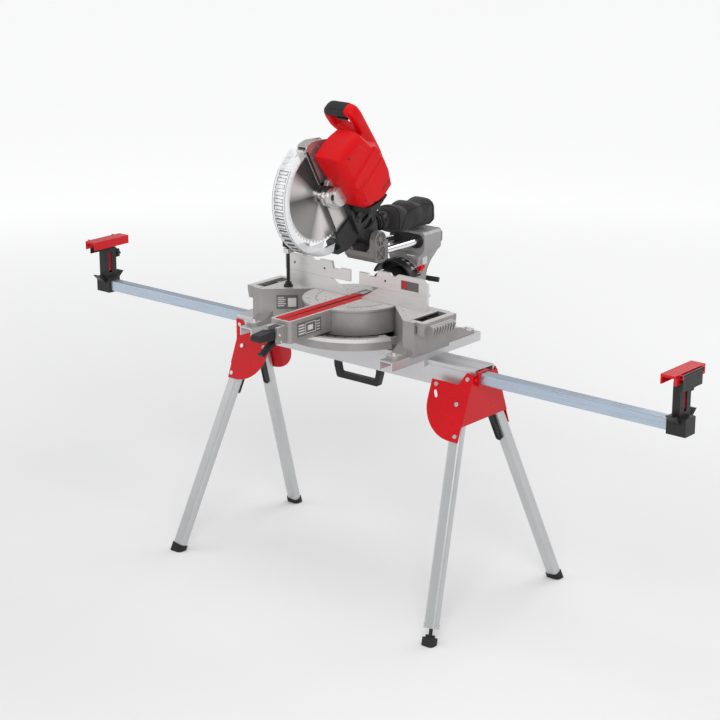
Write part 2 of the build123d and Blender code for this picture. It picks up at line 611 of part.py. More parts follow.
# ---------------------------------------------------------------- saw: bevel tower and rails
def bevel_scale():
    """Drum with the bevel angles and a smaller half-round nose, fixed round the turntable's hub."""
    keep = sector(140, 25, 155)
    drum = along_y((Circle(90) - Circle(82)) & keep, 196, 250) + along_y((Circle(86) - Circle(40.1)) & keep, 240, 246)
    upper = sector(140, 5, 175)
    nose = along_y((Circle(58) - Circle(40.1)) & upper, 168, 240) + along_y(Circle(58) & upper, 160, 168)
    return drum + nose


def bevel_tower():
    """Casting that tilts about the hub and carries the slide rails."""
    side = outline([(TOWER_FRONT, 176), (TOWER_FRONT, 104), (256, 92), (256, -48), (310, -48), (318, 30),
                    (330, 70), (TOWER_BACK, 112), (TOWER_BACK, 176)])
    front = outline([(-75, 118), (-75, 168), (-66, 176), (66, 176), (75, 168), (75, 118), (66, 104),
                     (52, 40), (50, 0), (38, -40), (-38, -40), (-50, 0), (-52, 40), (-66, 104)])
    tower = along_x(side, -80, 80) & along_y(front, 250, TOWER_BACK)
    pocket = outline([(-46, 96), (-42, 20), (-32, -34), (32, -34), (42, 20), (46, 96)])
    tower -= along_y(pocket, 261, 400)
    tower -= block((-26, 26), (290, 400), (110, 170))
    tower += rod_y(0, 0, 22, 256, 300)
    for x in (-RAIL_X, RAIL_X):
        tower -= rod_y(x, RAIL_Z, RAIL_R + 0.06, 200, 400)
    return tower + rod_y(0, 0, 12, 200, 257) + rod_y(0, 0, 6, 299, 345)


def bevel_lock_lever():
    """T-shaped lever behind the tower."""
    lever = rod_y(0, 0, 15, 301, 352)
    lever += along_y(outline([(-10, 10), (10, 10), (30, 62), (22, 70), (12, 68)], 3), 338, 352)
    lever += along_y(outline([(-9, -6), (9, -6), (-6, -78), (-22, -78), (-26, -70)], 3), 338, 352)
    lever += rod((12, 346, 0), (66, 368, -4), 9)
    return lever - rod_y(0, 0, 6.06, 290, 346)


def slide_rails():
    rails = []
    for x in (-RAIL_X, RAIL_X):
        tube = rod_y(x, RAIL_Z, RAIL_R, 36, 386)
        rails.append(tube - rod_y(x, RAIL_Z, RAIL_R - 3, 35, 387))
    return group(*rails)


def rail_end_cap():
    """Cap that joins the rails' back ends and stops them at the tower."""
    face = outline([(-62, 130), (-62, 160), (-50, 172), (50, 172), (62, 160), (62, 130), (50, 118), (-50, 118)])
    cap = along_y(face, TOWER_BACK + 1, TOWER_BACK + 29)
    cap = chamfer(cap.faces().sort_by(Axis.Y)[-1].edges(), 5)
    for x in (-RAIL_X, RAIL_X):
        cap -= rod_y(x, RAIL_Z, RAIL_R, TOWER_BACK, 386)
    return cap


def carriage():
    """Casting on the rails' front ends, with cheeks for the head's hinge pin."""
    back = 98
    side = outline([(24, 134), (24, 172), (46, 182), (96, 186), (back, 178), (back, 122), (66, 112), (40, 116)])
    body = along_x(side, -62, 62)
    body -= block((-42.5, 42.5), (30, 92), (130, 200)) + block((-42.5, 42.5), (20, 92), (150, 200))
    cheek = outline([(26, 150), (24, CHOP_Z), (32, CHOP_Z + 20), (CHOP_Y, CHOP_Z + 27), (68, CHOP_Z + 20),
                     (77, CHOP_Z), (88, 150)])
    for side_x in (-1, 1):
        body += along_x(cheek, *sorted((side_x * 44, side_x * 62)))
    for x in (-RAIL_X, RAIL_X):
        body += rod_y(x, RAIL_Z, RAIL_R + 5, 28, 97)
    body -= rod_x(CHOP_Y, CHOP_Z, 10.05, -44, 44)
    cover = along_x(Pos(CHOP_Y, CHOP_Z) * Circle(27), 62, 70)
    cover += along_x(outline([(CHOP_Y - 27, CHOP_Z), (CHOP_Y + 27, CHOP_Z), (CHOP_Y + 26, 122), (CHOP_Y - 22, 122)]), 62, 70)
    ring = Circle(22) - Circle(8)
    spokes = Rectangle(50, 3)
    for turn in (45, 90, 135):
        spokes += Rot(0, 0, turn) * Rectangle(50, 3)
    cover -= along_x(Pos(CHOP_Y, CHOP_Z) * (ring - spokes), 65, 71)
    panel = outline([(CHOP_Y - 21, 168), (CHOP_Y + 22, 168), (CHOP_Y + 21, 127), (CHOP_Y - 18, 127)])
    cross = Pos(CHOP_Y, 147) * Rot(0, 0, 42) * Rectangle(80, 3) + Pos(CHOP_Y, 147) * Rot(0, 0, -42) * Rectangle(80, 3)
    body += cover - along_x(panel - cross, 65, 71)
    for x in (-RAIL_X, RAIL_X):
        body -= rod_y(x, RAIL_Z, RAIL_R, 36, 100)
    pin = rod_x(CHOP_Y, CHOP_Z, 10, -44, 44)
    return group(body + pin, rail_end_cap())


# ---------------------------------------------------------------- saw: head, drawn with the blade's centre at the origin
def saw_arm():
    """Ribbed arm from the hinge to the gear case."""
    side = outline([(HUB_Y - 14, HUB_Z - 26), (HUB_Y + 20, HUB_Z - 14), (HUB_Y + 25, HUB_Z + 12),
                    (HUB_Y + 6, HUB_Z + 26), (216, 124), (126, 133), (96, 104), (84, 84), (84, 46), (196, 30)])
    arm = along_x(side, 4, 40)
    hub = along_x(outline([(HUB_Y - 40, HUB_Z - 26), (HUB_Y + 20, HUB_Z - 14), (HUB_Y + 25, HUB_Z + 12),
                           (HUB_Y + 6, HUB_Z + 26), (HUB_Y - 44, HUB_Z + 40)]), -42, 42)
    arm += hub
    for corners in ([(96, 56), (104, 94), (138, 84)], [(124, 114), (150, 94), (176, 116)],
                    [(112, 52), (178, 46), (148, 76)], [(160, 84), (190, 56), (196, 112)],
                    [(208, 54), (226, 62), (226, 100), (208, 106)]):
        arm -= along_x(outline(corners, 2), 32, 41)
    arm -= rod_x(0, 0, SHROUD_R + 2, -60, 19)
    arm -= along_x(outline(HOUSING), 31, 140)
    return arm - rod_x(HUB_Y, HUB_Z, 10.08, -60, 60)


def gear_case():
    """Silver casting from the arbor up to the motor."""
    side = outline([(-30, -10), (-62, 26), (-62, 31), (84, 31), (84, 10), (60, -6), (20, -30), (-12, -32)])
    case = along_x(side, 30, 66)
    case += rod_x(0, 0, 33, 30, 58)
    case += rod_x(0, 0, 25.6, 9, 31)
    for step in range(4):
        case += along_x(outline([(8 + 18 * step, -24 + 6 * step), (14 + 18 * step, -22 + 6 * step),
                                 (14 + 18 * step, 30), (8 + 18 * step, 30)]), 66, 70)
    case += along_x(outline([(-60, 29), (-60, 31), (-20, 31), (-20, 6)]), 66, 70)
    return case - rod_x(0, 0, 12.7, 0, 52)


def head_sector(first, last, radius):
    """A pie slice in the head's side view. Angles run up from straight ahead."""
    return sector(radius, 180 - last, 180 - first)


def upper_guard():
    """Fixed guard: two side plates and a rim, with the bolted nose plate in front."""
    keep = head_sector(8, 190, 400)
    shell = along_x(Circle(GUARD_R) & keep, -19, 19)
    shell -= rod_x(0, 0, GUARD_R - 4, -16, 16)
    nose = outline([(-178, 34), (-184, 52), (-166, 82), (-128, 128), (-92, 142), (-92, 60), (-150, 28)])
    shell += along_x(nose, 15.5, 19.5) & rod_x(0, 0, 187, 0, 30)
    shell += along_x(nose, -19.5, -15.5) & rod_x(0, 0, 187, -30, 0)
    rim = along_x(nose, -19.5, 19.5) & rod_x(0, 0, 187, -30, 30)
    shell += rim - rod_x(0, 0, 183, -30, 30)
    shell -= rod_x(0, 0, 44, 0, 40)
    shell -= rod_x(0, 0, 60, -40, 0)
    for y, z in ((-160, 58), (-146, 78)):
        shell -= rod_x(y, z, 3, 10, 30)
    return shell


def lower_guard():
    """Clear guard that swings up over the upper guard as the head comes down."""
    keep = head_sector(-162.5, 4.5, 400)
    guard = along_x(Circle(SHROUD_R) & keep, -26, 26)
    guard -= rod_x(0, 0, SHROUD_R - 3.5, -23, 23)
    guard -= rod_x(0, 0, 96, -40, 0)
    guard -= rod_x(0, 0, 33, 0, 40)
    ring = rod_x(0, 0, 36, 23, 26) - rod_x(0, 0, 25.66, 20, 30)
    guard += ring
    for step in range(24):
        a = -158 + 6.6 * step
        slot = head_sector(a - 1.7, a + 1.7, 300)
        guard -= along_x(slot - Circle(SHROUD_R - 8), -17, 17)
    table = HUB_Z - CHOP_Z + 1
    lean = table + 60 * math.tan(math.radians(49))
    tilted = Plane.XZ * make_face(Polyline((0, table), (60, lean), (60, -300), (-60, -300), (-60, lean), close=True))
    return guard - Rot(GUARD_SWING, 0, 0) * extrude(tilted, amount=400, both=True)


def blade():
    """Toothed disc: each tooth rises from its gullet and drops back steeply."""
    points = []
    for tooth in range(TEETH):
        for share, radius in ((0.0, BLADE_R - 7), (0.42, BLADE_R - 5.5), (0.86, BLADE_R), (0.97, BLADE_R - 1.5)):
            a = 2 * math.pi * (tooth + share) / TEETH
            points.append((radius * math.cos(a), radius * math.sin(a)))
    disc = along_x(outline(points), -BLADE_T / 2, BLADE_T / 2)
    return disc - rod_x(0, 0, 12.7, -5, 5)


def arbor():
    shaft = rod_x(0, 0, 12.6, -12, 50)
    shaft += rod_x(0, 0, 24, -7, -BLADE_T / 2) + rod_x(0, 0, 24, BLADE_T / 2, 8)
    bolt = along_x(RegularPolygon(10, 6), -20, -12)
    return shaft + rod_x(0, 0, 15, -12, -7) + bolt


HOUSING = [(-144, 36), (-148, 84), (-143, 128), (-132, 168), (-60, 196), (-38, 216), (32, 214), (78, 206),
           (128, 184), (127, 116), (104, 60), (66, 36)]


def motor_housing():
    """Red shell round the motor, with the D-handle over the guard."""
    body = along_x(outline(HOUSING), 31, 116)
    body += extrude(Plane.YZ.offset(116) * outline(HOUSING), amount=16, taper=42)
    core = outline([(-139, 41), (-143, 84), (-138, 125), (-128, 163), (-58, 191), (-36, 210), (31, 209), (75, 201),
                    (123, 180), (122, 118), (100, 64), (63, 41)])
    body -= along_x(core, 35, 112)
    rib = outline([(-24, 36), (4, 36), (-30, 206), (-54, 198)])
    body += along_x(rib, 100, 135)
    loop = outline([(-46, -150), (-22, -178), (58, -178), (86, -146), (86, 44), (34, 60), (30, -30), (-46, -70)], 14)
    hole = outline([(-12, -142), (52, -142), (52, -66), (14, -66), (-12, -86)], 9)
    handle = along_z(loop - hole, 203, 250)
    handle = chamfer(handle.faces().sort_by(Axis.Z)[-1].outer_wire().edges(), 10)
    neck = along_z(outline([(36, -76), (84, -76), (84, 46), (36, 46)]), 170, 204)
    pocket = block((10, 30), (-156, -141), (219, 233))
    sweep = rod_x(0, 0, SHROUD_R + 4, -30, 30)
    return body + (handle + neck - sweep - pocket - along_x(core, 35, 112))


def handle_grip():
    """Rubber sleeve round the front bar of the handle."""
    bar = outline([(-44, -152), (-23, -180.5), (54, -180.5), (54, -139.5), (-14, -139.5), (-18, -134), (-44, -134)])
    core = outline([(-46, -150), (-22, -178), (58, -178), (60, -142), (-12, -142), (-12, -130), (-46, -130)])
    sleeve = along_z(bar, 201, 252.5)
    sleeve = chamfer(sleeve.faces().sort_by(Axis.Z)[-1].edges(), 8)
    sleeve -= motor_housing()
    sleeve -= rod_x(0, 0, SHROUD_R + 4, -60, 100)
    return sleeve - along_z(core, 203.1, 238) - block((8, 32), (-143, -120), (216, 236))


def trigger():
    paddle = block((-2, 42), (-133, -127), (213, 240))
    return paddle + block((12, 28), (-146, -133), (221, 231))


def motor():
    """Brushless motor inside the housing."""
    stator = rod_x(20, 120, 42, 40, 100) - rod_x(20, 120, 26, 39, 101)
    rotor = rod_x(20, 120, 25, 42, 98) + rod_x(20, 120, 6, 36.5, 111)
    return group(stator, rotor)


def dust_shroud():
    """Black chute behind the blade, running back beside the arm."""
    side = outline([(143, 46), (196, 29), (216, 38), (226, 14), (216, -38), (194, -76), (172, -62), (139, -38)])
    chute = along_x(side, -28, 29)
    chute -= rod_x(0, 0, GUARD_R + 0.4, -40, 19.8)
    chute -= along_x(outline([(172, -26), (196, -50), (214, -24), (222, 10), (204, 26), (184, 20)]), -24, 25)
    wedge = along_x(outline([(140, 100), (196, 60), (196, 126), (150, 128)]), -34, 3.6)
    wedge += along_x(outline([(150, 96), (176, 60), (186, 20), (206, 24), (202, 62)]), -28, 3.6)
    wedge -= rod_x(0, 0, SHROUD_R + 3, -40, 40)
    elbow = along_x(outline([(196, 66), (196, 126), (228, 132), (228, 112)]), -34, 3.6)
    swept = along_x(head_sector(-163.6, 6, SHROUD_R + 1.5), -40, 40)
    return chute + wedge + elbow - swept - saw_arm() - along_x(outline([(84, 52), (84, 132), (150, 132), (150, 52)]), 3.7, 60)


def dust_chute():
    """Fixed tube on the carriage that the bag's collar fits over."""
    tube = rod_y(0, NOZZLE_Z, 20, 84, 104) + rod_y(0, NOZZLE_Z, 24, 100, 146)
    for step in range(4):
        tube += rod_y(0, NOZZLE_Z, 27, 106 + 10 * step, 111 + 10 * step)
    tube -= rod_y(0, NOZZLE_Z, 17, 90, 150)
    leg = block((-12, 12), (84, 98), (186, NOZZLE_Z))
    return tube + leg - rod_y(0, NOZZLE_Z, 17, 90, 150)


def dust_bag():
    """Closed shape of the filled cloth bag, with three humps along its top."""
    side = outline([(146.5, 206), (168, 188), (366, 184), (369, 262), (358, 275), (338, 280), (316, 272),
                    (300, 268), (282, 277), (260, 282), (238, 277), (220, 269), (202, 276), (184, 278),
                    (168, 271), (157, 260), (146.5, 252)])
    inner = outline([(150, 210), (170, 192), (362, 188), (364, 258), (354, 270), (338, 275), (316, 267),
                     (300, 263), (282, 272), (260, 277), (238, 272), (220, 264), (202, 271), (184, 273),
                     (170, 266), (160, 256), (150, 248)])
    return along_x(side, -52, 52) - along_x(inner, -49, 49)


# ---------------------------------------------------------------- placing
def place_saw(shape):
    return Pos(0, SAW_Y, TABLE_Z) * shape


def place_head(shape):
    """From the head's own frame to the saw's, with the head raised."""
    lift = Pos(0, CHOP_Y, CHOP_Z) * Rot(-RAISE, 0, 0) * Pos(0, -HUB_Y, -HUB_Z)
    return place_saw(lift * shape)


def build():
    nodes = {"main_beam": main_beam(), "carry_handle": carry_handle(), "stand_bolts": stand_bolts(),
             "saw_mount_rails": mount_rails()}
    for side, word in ((-1, "left"), (1, "right")):
        nodes[f"{word}_leg_bracket"] = leg_bracket(side)
        nodes[f"{word}_extension_arm"] = extension_arm(side)
        nodes[f"{word}_arm_lock"] = arm_lock(side)
        nodes[f"{word}_support_post"] = support_post(side)
        nodes[f"{word}_support_head"] = support_head(side)
        nodes[f"{word}_support_knob"] = support_knob(side)
        nodes[f"{word}_stop_flap"] = stop_flap(side)
        nodes[f"{word}_table_extension"] = place_saw(table_extension(side))
        nodes[f"{word}_sliding_fence"] = place_saw(sliding_fence(side))
        for face, end in ((-1, "front"), (1, "rear")):
            if (side, face) == (1, -1):
                nodes["front_right_leg"] = levelling_leg()
                nodes["levelling_foot"] = levelling_foot()
            else:
                nodes[f"{end}_{word}_leg"] = leg_tube(side, face)
                nodes[f"{end}_{word}_foot"] = rubber_foot(side, face)
            nodes[f"{end}_{word}_leg_lever"] = leg_lever(side, face)
    for maker in (base_casting, clamp_post, clamp_screw, lower_fence, turntable, kerf_plate,
                  mitre_lock_grip, detent_lever, bevel_scale, bevel_tower, bevel_lock_lever, slide_rails,
                  carriage, dust_chute, dust_bag):
        nodes[maker.__name__] = place_saw(maker())
    for maker in (saw_arm, gear_case, upper_guard, lower_guard, blade, arbor, motor_housing, handle_grip,
                  trigger, motor, dust_shroud):
        nodes[maker.__name__] = place_head(maker())
    return nodes


def footprint_centre(nodes):
    boxes = [shape.bounding_box() for shape in nodes.values()]
    x = (min(b.min.X for b in boxes) + max(b.max.X for b in boxes)) / 2
    y = (min(b.min.Y for b in boxes) + max(b.max.Y for b in boxes)) / 2
    return x, y


if __name__ == "__main__":
    os.makedirs("parts", exist_ok=True)
    machine = build()
    middle_x, middle_y = footprint_centre(machine)
    for node, shape in machine.items():
        placed = Pos(-middle_x, -middle_y, 0) * shape
        export_step(Compound(children=placed.solids()), f"parts/{node}.step")
    print("nodes", len(machine), "footprint centre", round(middle_x, 4), round(middle_y, 4))
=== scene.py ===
import bpy
import bmesh
import json
import math
from mathutils import Matrix, Vector


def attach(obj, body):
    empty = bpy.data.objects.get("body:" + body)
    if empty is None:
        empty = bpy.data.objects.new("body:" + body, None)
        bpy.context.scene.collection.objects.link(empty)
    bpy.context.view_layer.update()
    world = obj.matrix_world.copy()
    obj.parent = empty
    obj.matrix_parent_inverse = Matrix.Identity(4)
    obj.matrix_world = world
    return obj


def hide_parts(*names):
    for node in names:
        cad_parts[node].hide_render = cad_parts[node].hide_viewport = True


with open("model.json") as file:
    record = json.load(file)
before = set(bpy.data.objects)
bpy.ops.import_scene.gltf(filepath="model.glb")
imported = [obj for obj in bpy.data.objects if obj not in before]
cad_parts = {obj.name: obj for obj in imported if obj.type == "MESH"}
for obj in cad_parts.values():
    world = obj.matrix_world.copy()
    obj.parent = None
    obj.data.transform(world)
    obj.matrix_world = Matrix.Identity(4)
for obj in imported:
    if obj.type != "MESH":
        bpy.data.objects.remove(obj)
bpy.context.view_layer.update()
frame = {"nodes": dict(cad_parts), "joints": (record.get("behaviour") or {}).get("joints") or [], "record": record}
nodes = frame["nodes"]
joints = {j["name"]: j for j in frame["joints"]}
MM = 0.001

# ------------------------------------------------------------------ frames taken from the joints
turntable_pivot = Vector(joints["mitre_turn"]["pos_m"]) + Vector((0, 0, 40 * MM))
blade_centre = Vector(joints["blade_spin"]["pos_m"])
RAISE = math.radians(52.5)
SAW = Matrix.Translation(turntable_pivot) @ Matrix.Scale(MM, 4)
# millimetres from the middle of the saw's table, or from the blade's centre for the guard
ARM_FRONT, RAIL_X, RAIL_Z = -365, 45, 145
GUARD_R = 192
CREASE = 35
HEAD = Matrix.Translation(blade_centre) @ Matrix.Rotation(-RAISE, 4, "X") @ Matrix.Scale(MM, 4)


# ------------------------------------------------------------------ materials
class Nodes:
    """A material's node tree, with short calls for the nodes used here."""

    def __init__(self, name):
        self.mat = bpy.data.materials.new(name)
        self.mat.use_nodes = True
        self.tree = self.mat.node_tree
        self.tree.nodes.clear()
        self.out = self.add("ShaderNodeOutputMaterial")
        self.bsdf = self.add("ShaderNodeBsdfPrincipled")
        self.link(self.bsdf.outputs[0], self.out.inputs[0])
        self.position = self.add("ShaderNodeTexCoord").outputs["Object"]

    def add(self, kind, **settings):
        node = self.tree.nodes.new(kind)
        for key, value in settings.items():
            setattr(node, key, value)
        return node

    def link(self, a, b):
        self.tree.links.new(a, b)

    def stretched(self, scale):
        node = self.add("ShaderNodeMapping")
        self.link(self.position, node.inputs["Vector"])
        node.inputs["Scale"].default_value = scale
        return node.outputs[0]

    def distance(self, centre, keep):
        """Direction and distance from a centre, along the axes that keep has as 1."""
        place = self.add("ShaderNodeVectorMath", operation="SUBTRACT")
        self.link(self.position, place.inputs[0])
        place.inputs[1].default_value = centre
        flat = self.add("ShaderNodeVectorMath", operation="MULTIPLY")
        self.link(place.outputs[0], flat.inputs[0])
        flat.inputs[1].default_value = keep
        length = self.add("ShaderNodeVectorMath", operation="LENGTH")
        self.link(flat.outputs[0], length.inputs[0])
        return flat.outputs[0], length.outputs["Value"]

    def rings(self, radius, per_metre):
        """Fine rings of noise round a centre."""
        node = self.add("ShaderNodeTexNoise", noise_dimensions="1D")
        self.link(self.math("MULTIPLY", radius, per_metre), node.inputs["W"])
        node.inputs["Scale"].default_value = 1.0
        return node.outputs["Fac"]

    def noise(self, scale, detail=3.0, vector=None):
        node = self.add("ShaderNodeTexNoise")
        self.link(vector or self.position, node.inputs["Vector"])
        node.inputs["Scale"].default_value = scale
        node.inputs["Detail"].default_value = detail
        return node.outputs["Fac"]

    def voronoi(self, scale):
        node = self.add("ShaderNodeTexVoronoi")
        self.link(self.position, node.inputs["Vector"])
        node.inputs["Scale"].default_value = scale
        return node.outputs["Distance"]

    def wave(self, scale, direction, distortion):
        node = self.add("ShaderNodeTexWave", bands_direction=direction)
        self.link(self.position, node.inputs["Vector"])
        node.inputs["Scale"].default_value = scale
        node.inputs["Distortion"].default_value = distortion
        return node.outputs["Fac"]

    def math(self, operation, a, b=0.0, clamp=False):
        node = self.add("ShaderNodeMath", operation=operation, use_clamp=clamp)
        for socket, value in zip(node.inputs, (a, b)):
            if isinstance(value, (int, float)):
                socket.default_value = value
            else:
                self.link(value, socket)
        return node.outputs[0]

    def ramp(self, value, low, high, first=0.0, last=1.0):
        node = self.add("ShaderNodeMapRange", clamp=True)
        self.link(value, node.inputs["Value"])
        for key, number in (("From Min", low), ("From Max", high), ("To Min", first), ("To Max", last)):
            node.inputs[key].default_value = number
        return node.outputs[0]

    def mix(self, factor, a, b):
        node = self.add("ShaderNodeMix", data_type="RGBA")
        self.link(factor, node.inputs["Factor"])
        for index, value in ((6, a), (7, b)):
            if isinstance(value, tuple):
                node.inputs[index].default_value = (*value, 1)
            else:
                self.link(value, node.inputs[index])
        return node.outputs[2]

    def edges(self, radius=0.0016):
        """Rounded-edge normal, and a mask of where the shape turns a corner."""
        bevel = self.add("ShaderNodeBevel", samples=4)
        bevel.inputs["Radius"].default_value = radius
        geometry = self.add("ShaderNodeNewGeometry")
        dot = self.add("ShaderNodeVectorMath", operation="DOT_PRODUCT")
        self.link(bevel.outputs[0], dot.inputs[0])
        self.link(geometry.outputs["Normal"], dot.inputs[1])
        return bevel.outputs[0], self.ramp(dot.outputs["Value"], 0.985, 0.80)

    def bump(self, height, strength, distance=0.0005, normal=None):
        node = self.add("ShaderNodeBump")
        self.link(height, node.inputs["Height"])
        node.inputs["Strength"].default_value = strength
        node.inputs["Distance"].default_value = distance
        if normal is not None:
            self.link(normal, node.inputs["Normal"])
        self.link(node.outputs[0], self.bsdf.inputs["Normal"])

    def set(self, **values):
        for key, value in values.items():
            socket = self.bsdf.inputs[key.replace("_", " ")]
            if isinstance(value, (int, float)):
                socket.default_value = value
            elif isinstance(value, tuple):
                socket.default_value = (*value, 1) if len(value) == 3 else value
            else:
                self.link(value, socket)


def scaled(colour, share):
    """The same colour, darker or lighter."""
    return tuple(min(1, c * share) for c in colour)


def paint(name, colour, worn, rough=0.32, coat=0.0, grain=900, depth=0.12, edge=0.0016, wear=0.5,
          patch=0.10, shine=0.35):
    """Painted or moulded surface: fine grain, slow colour drift, and lighter worn edges."""
    n = Nodes(name)
    normal, mask = n.edges(edge)
    drift = n.noise(9, 4)
    shade = n.mix(n.ramp(drift, 0.3, 0.7), scaled(colour, 1 - patch), scaled(colour, 1 + patch))
    scuff = n.math("MULTIPLY", mask, n.ramp(n.noise(60, 3), 0.35, 0.7, 0.2, wear))
    n.set(Base_Color=n.mix(scuff, shade, worn), Coat_Weight=coat, Coat_Roughness=0.12)
    n.set(Roughness=n.ramp(n.noise(35, 4), 0.3, 0.7, rough - 0.05, rough + 0.07), Specular_IOR_Level=shine)
    n.bump(n.noise(grain, 2), depth, 0.0004, normal)
    return n.mat


def brushed(name, colour, direction, rough=0.3, metal=1.0, streak=700, depth=0.08, edge=0.001, vary=0.12):
    """Metal with fine streaks along one direction, given as a scale that is small that way."""
    n = Nodes(name)
    normal, mask = n.edges(edge)
    lines = n.noise(streak, 2, n.stretched(direction))
    cloud = n.noise(7, 3)
    shade = n.mix(n.ramp(lines, 0.35, 0.65), scaled(colour, 1 - vary), scaled(colour, 1 + vary / 2))
    shade = n.mix(n.ramp(cloud, 0.35, 0.7, 0, 0.35), shade, scaled(colour, 0.82))
    n.set(Base_Color=n.mix(n.math("MULTIPLY", mask, 0.5), shade, (0.92, 0.92, 0.93)), Metallic=metal)
    n.set(Roughness=n.ramp(lines, 0.3, 0.7, rough - 0.07, rough + 0.1))
    n.bump(lines, depth, 0.0003, normal)
    return n.mat


def casting(name, colour, rough=0.5, metal=0.6, grain=420, depth=0.35, machined=None):
    """Cast metal with a pebbled skin. machined lightens the faces that point up, with turning rings."""
    n = Nodes(name)
    normal, mask = n.edges(0.0022)
    skin = n.math("ADD", n.noise(grain, 4), n.math("MULTIPLY", n.voronoi(grain * 0.8), 0.5))
    shade = n.mix(n.ramp(n.noise(12, 4), 0.3, 0.7), scaled(colour, 0.88), scaled(colour, 1.1))
    shade = n.mix(n.math("MULTIPLY", mask, 0.45), shade, scaled(colour, 1.7))
    height = skin
    roughness = n.ramp(n.noise(50, 3), 0.3, 0.7, rough - 0.06, rough + 0.08)
    if machined:
        geometry = n.add("ShaderNodeNewGeometry")
        split = n.add("ShaderNodeSeparateXYZ")
        n.link(geometry.outputs["Normal"], split.inputs[0])
        up = n.ramp(split.outputs["Z"], 0.9, 0.98)
        rings = n.rings(n.distance(turntable_pivot, (1, 1, 0))[1], TURNING_MARKS)
        bright = n.mix(n.ramp(rings, 0.35, 0.65), scaled(machined, 0.9), machined)
        shade = n.mix(up, shade, bright)
        height = n.mix(up, skin, rings)
        roughness = n.math("MULTIPLY", roughness, n.ramp(up, 0, 1, 1, 0.72))
    n.set(Base_Color=shade, Metallic=metal, Roughness=roughness)
    n.bump(height, depth, 0.0005, normal)
    return n.mat


def cloth(name, colour, light):
    """Close plain weave with a soft sheen."""
    n = Nodes(name)
    across = n.wave(THREADS, "Y", 0.4)
    along = n.wave(THREADS, "Z", 0.4)
    weave = n.math("MULTIPLY", across, along)
    fuzz = n.noise(1600, 3)
    shade = n.mix(n.ramp(weave, 0.05, 0.7), colour, light)
    shade = n.mix(n.ramp(n.noise(14, 4), 0.35, 0.7, 0, 0.6), shade, scaled(colour, 0.7))
    n.set(Base_Color=shade, Roughness=n.ramp(fuzz, 0.3, 0.7, 0.78, 0.95))
    n.set(Sheen_Weight=0.15, Sheen_Roughness=0.4)
    n.bump(n.math("ADD", weave, n.math("MULTIPLY", fuzz, 0.4)), 0.5, 0.0006)
    return n.mat


TURNING_MARKS, GRINDING_MARKS, THREADS = 900.0, 2600.0, 420
# painted highlights on the ground disc, where it would glare: direction from its centre, how narrow, how strong
PAINTED_GLARES = (((0, 0.30, -0.95), 0.80, 1.0), ((0, -0.94, 0.34), 0.93, 0.8), ((0, -0.62, -0.78), 0.55, 0.35))


def blade_metal():
    """Ground disc, with the cone-shaped glare that circular grinding gives painted into its colour as painted
    highlights, and a pale rim.
    """
    n = Nodes("blade_steel")
    flat, radius = n.distance(blade_centre, (0, 1, 1))
    spoke = n.add("ShaderNodeVectorMath", operation="NORMALIZE")
    n.link(flat, spoke.inputs[0])
    # painted highlights: bright cone-shaped sectors added into the disc's colour, standing in for reflected light
    painted_glare = 0.0
    for direction, narrow, strength in PAINTED_GLARES:
        dot = n.add("ShaderNodeVectorMath", operation="DOT_PRODUCT")
        n.link(spoke.outputs[0], dot.inputs[0])
        dot.inputs[1].default_value = direction
        painted_glare = n.math("ADD", n.ramp(dot.outputs["Value"], narrow, 1.0, 0.0, strength), painted_glare, True)
    rings = n.rings(radius, GRINDING_MARKS)
    lit = n.math("ADD", painted_glare, n.ramp(rings, 0.3, 0.7, -0.05, 0.05), True)
    # the painted highlights lighten the dark disc colour towards a pale one
    plate = n.mix(lit, (0.040, 0.035, 0.034), (0.84, 0.80, 0.79))
    rim = n.ramp(radius, 0.141, 0.143)
    n.set(Base_Color=n.mix(rim, plate, (0.72, 0.71, 0.70)), Metallic=0.85)
    n.set(Anisotropic=0.7, Anisotropic_Rotation=0.25, Roughness=n.ramp(rings, 0.3, 0.7, 0.30, 0.38))
    tangent = n.add("ShaderNodeTangent", direction_type="RADIAL", axis="X")
    n.link(tangent.outputs[0], n.bsdf.inputs["Tangent"])
    n.bump(rings, 0.02, 0.0001)
    return n.mat


def clear_plastic():
    """Clear guard: mostly see-through face on, whiter seen edge on and in the band outside the blade."""
    n = Nodes("clear_plastic")
    fresnel = n.add("ShaderNodeLayerWeight")
    fresnel.inputs["Blend"].default_value = 0.45
    haze = n.noise(18, 3)
    n.set(Base_Color=n.mix(haze, (0.80, 0.82, 0.83), (0.93, 0.94, 0.95)), Roughness=0.12, IOR=1.5)
    radius = n.distance(blade_centre, (0, 1, 1))[1]
    rim = n.ramp(radius, 0.166, 0.169, 0.0, 0.35)
    n.set(Alpha=n.math("ADD", n.ramp(fresnel.outputs["Facing"], 0.40, 1.0, 0.02, 0.75), rim, True))
    n.bump(n.noise(60, 2), 0.02, 0.0002)
    return n.mat


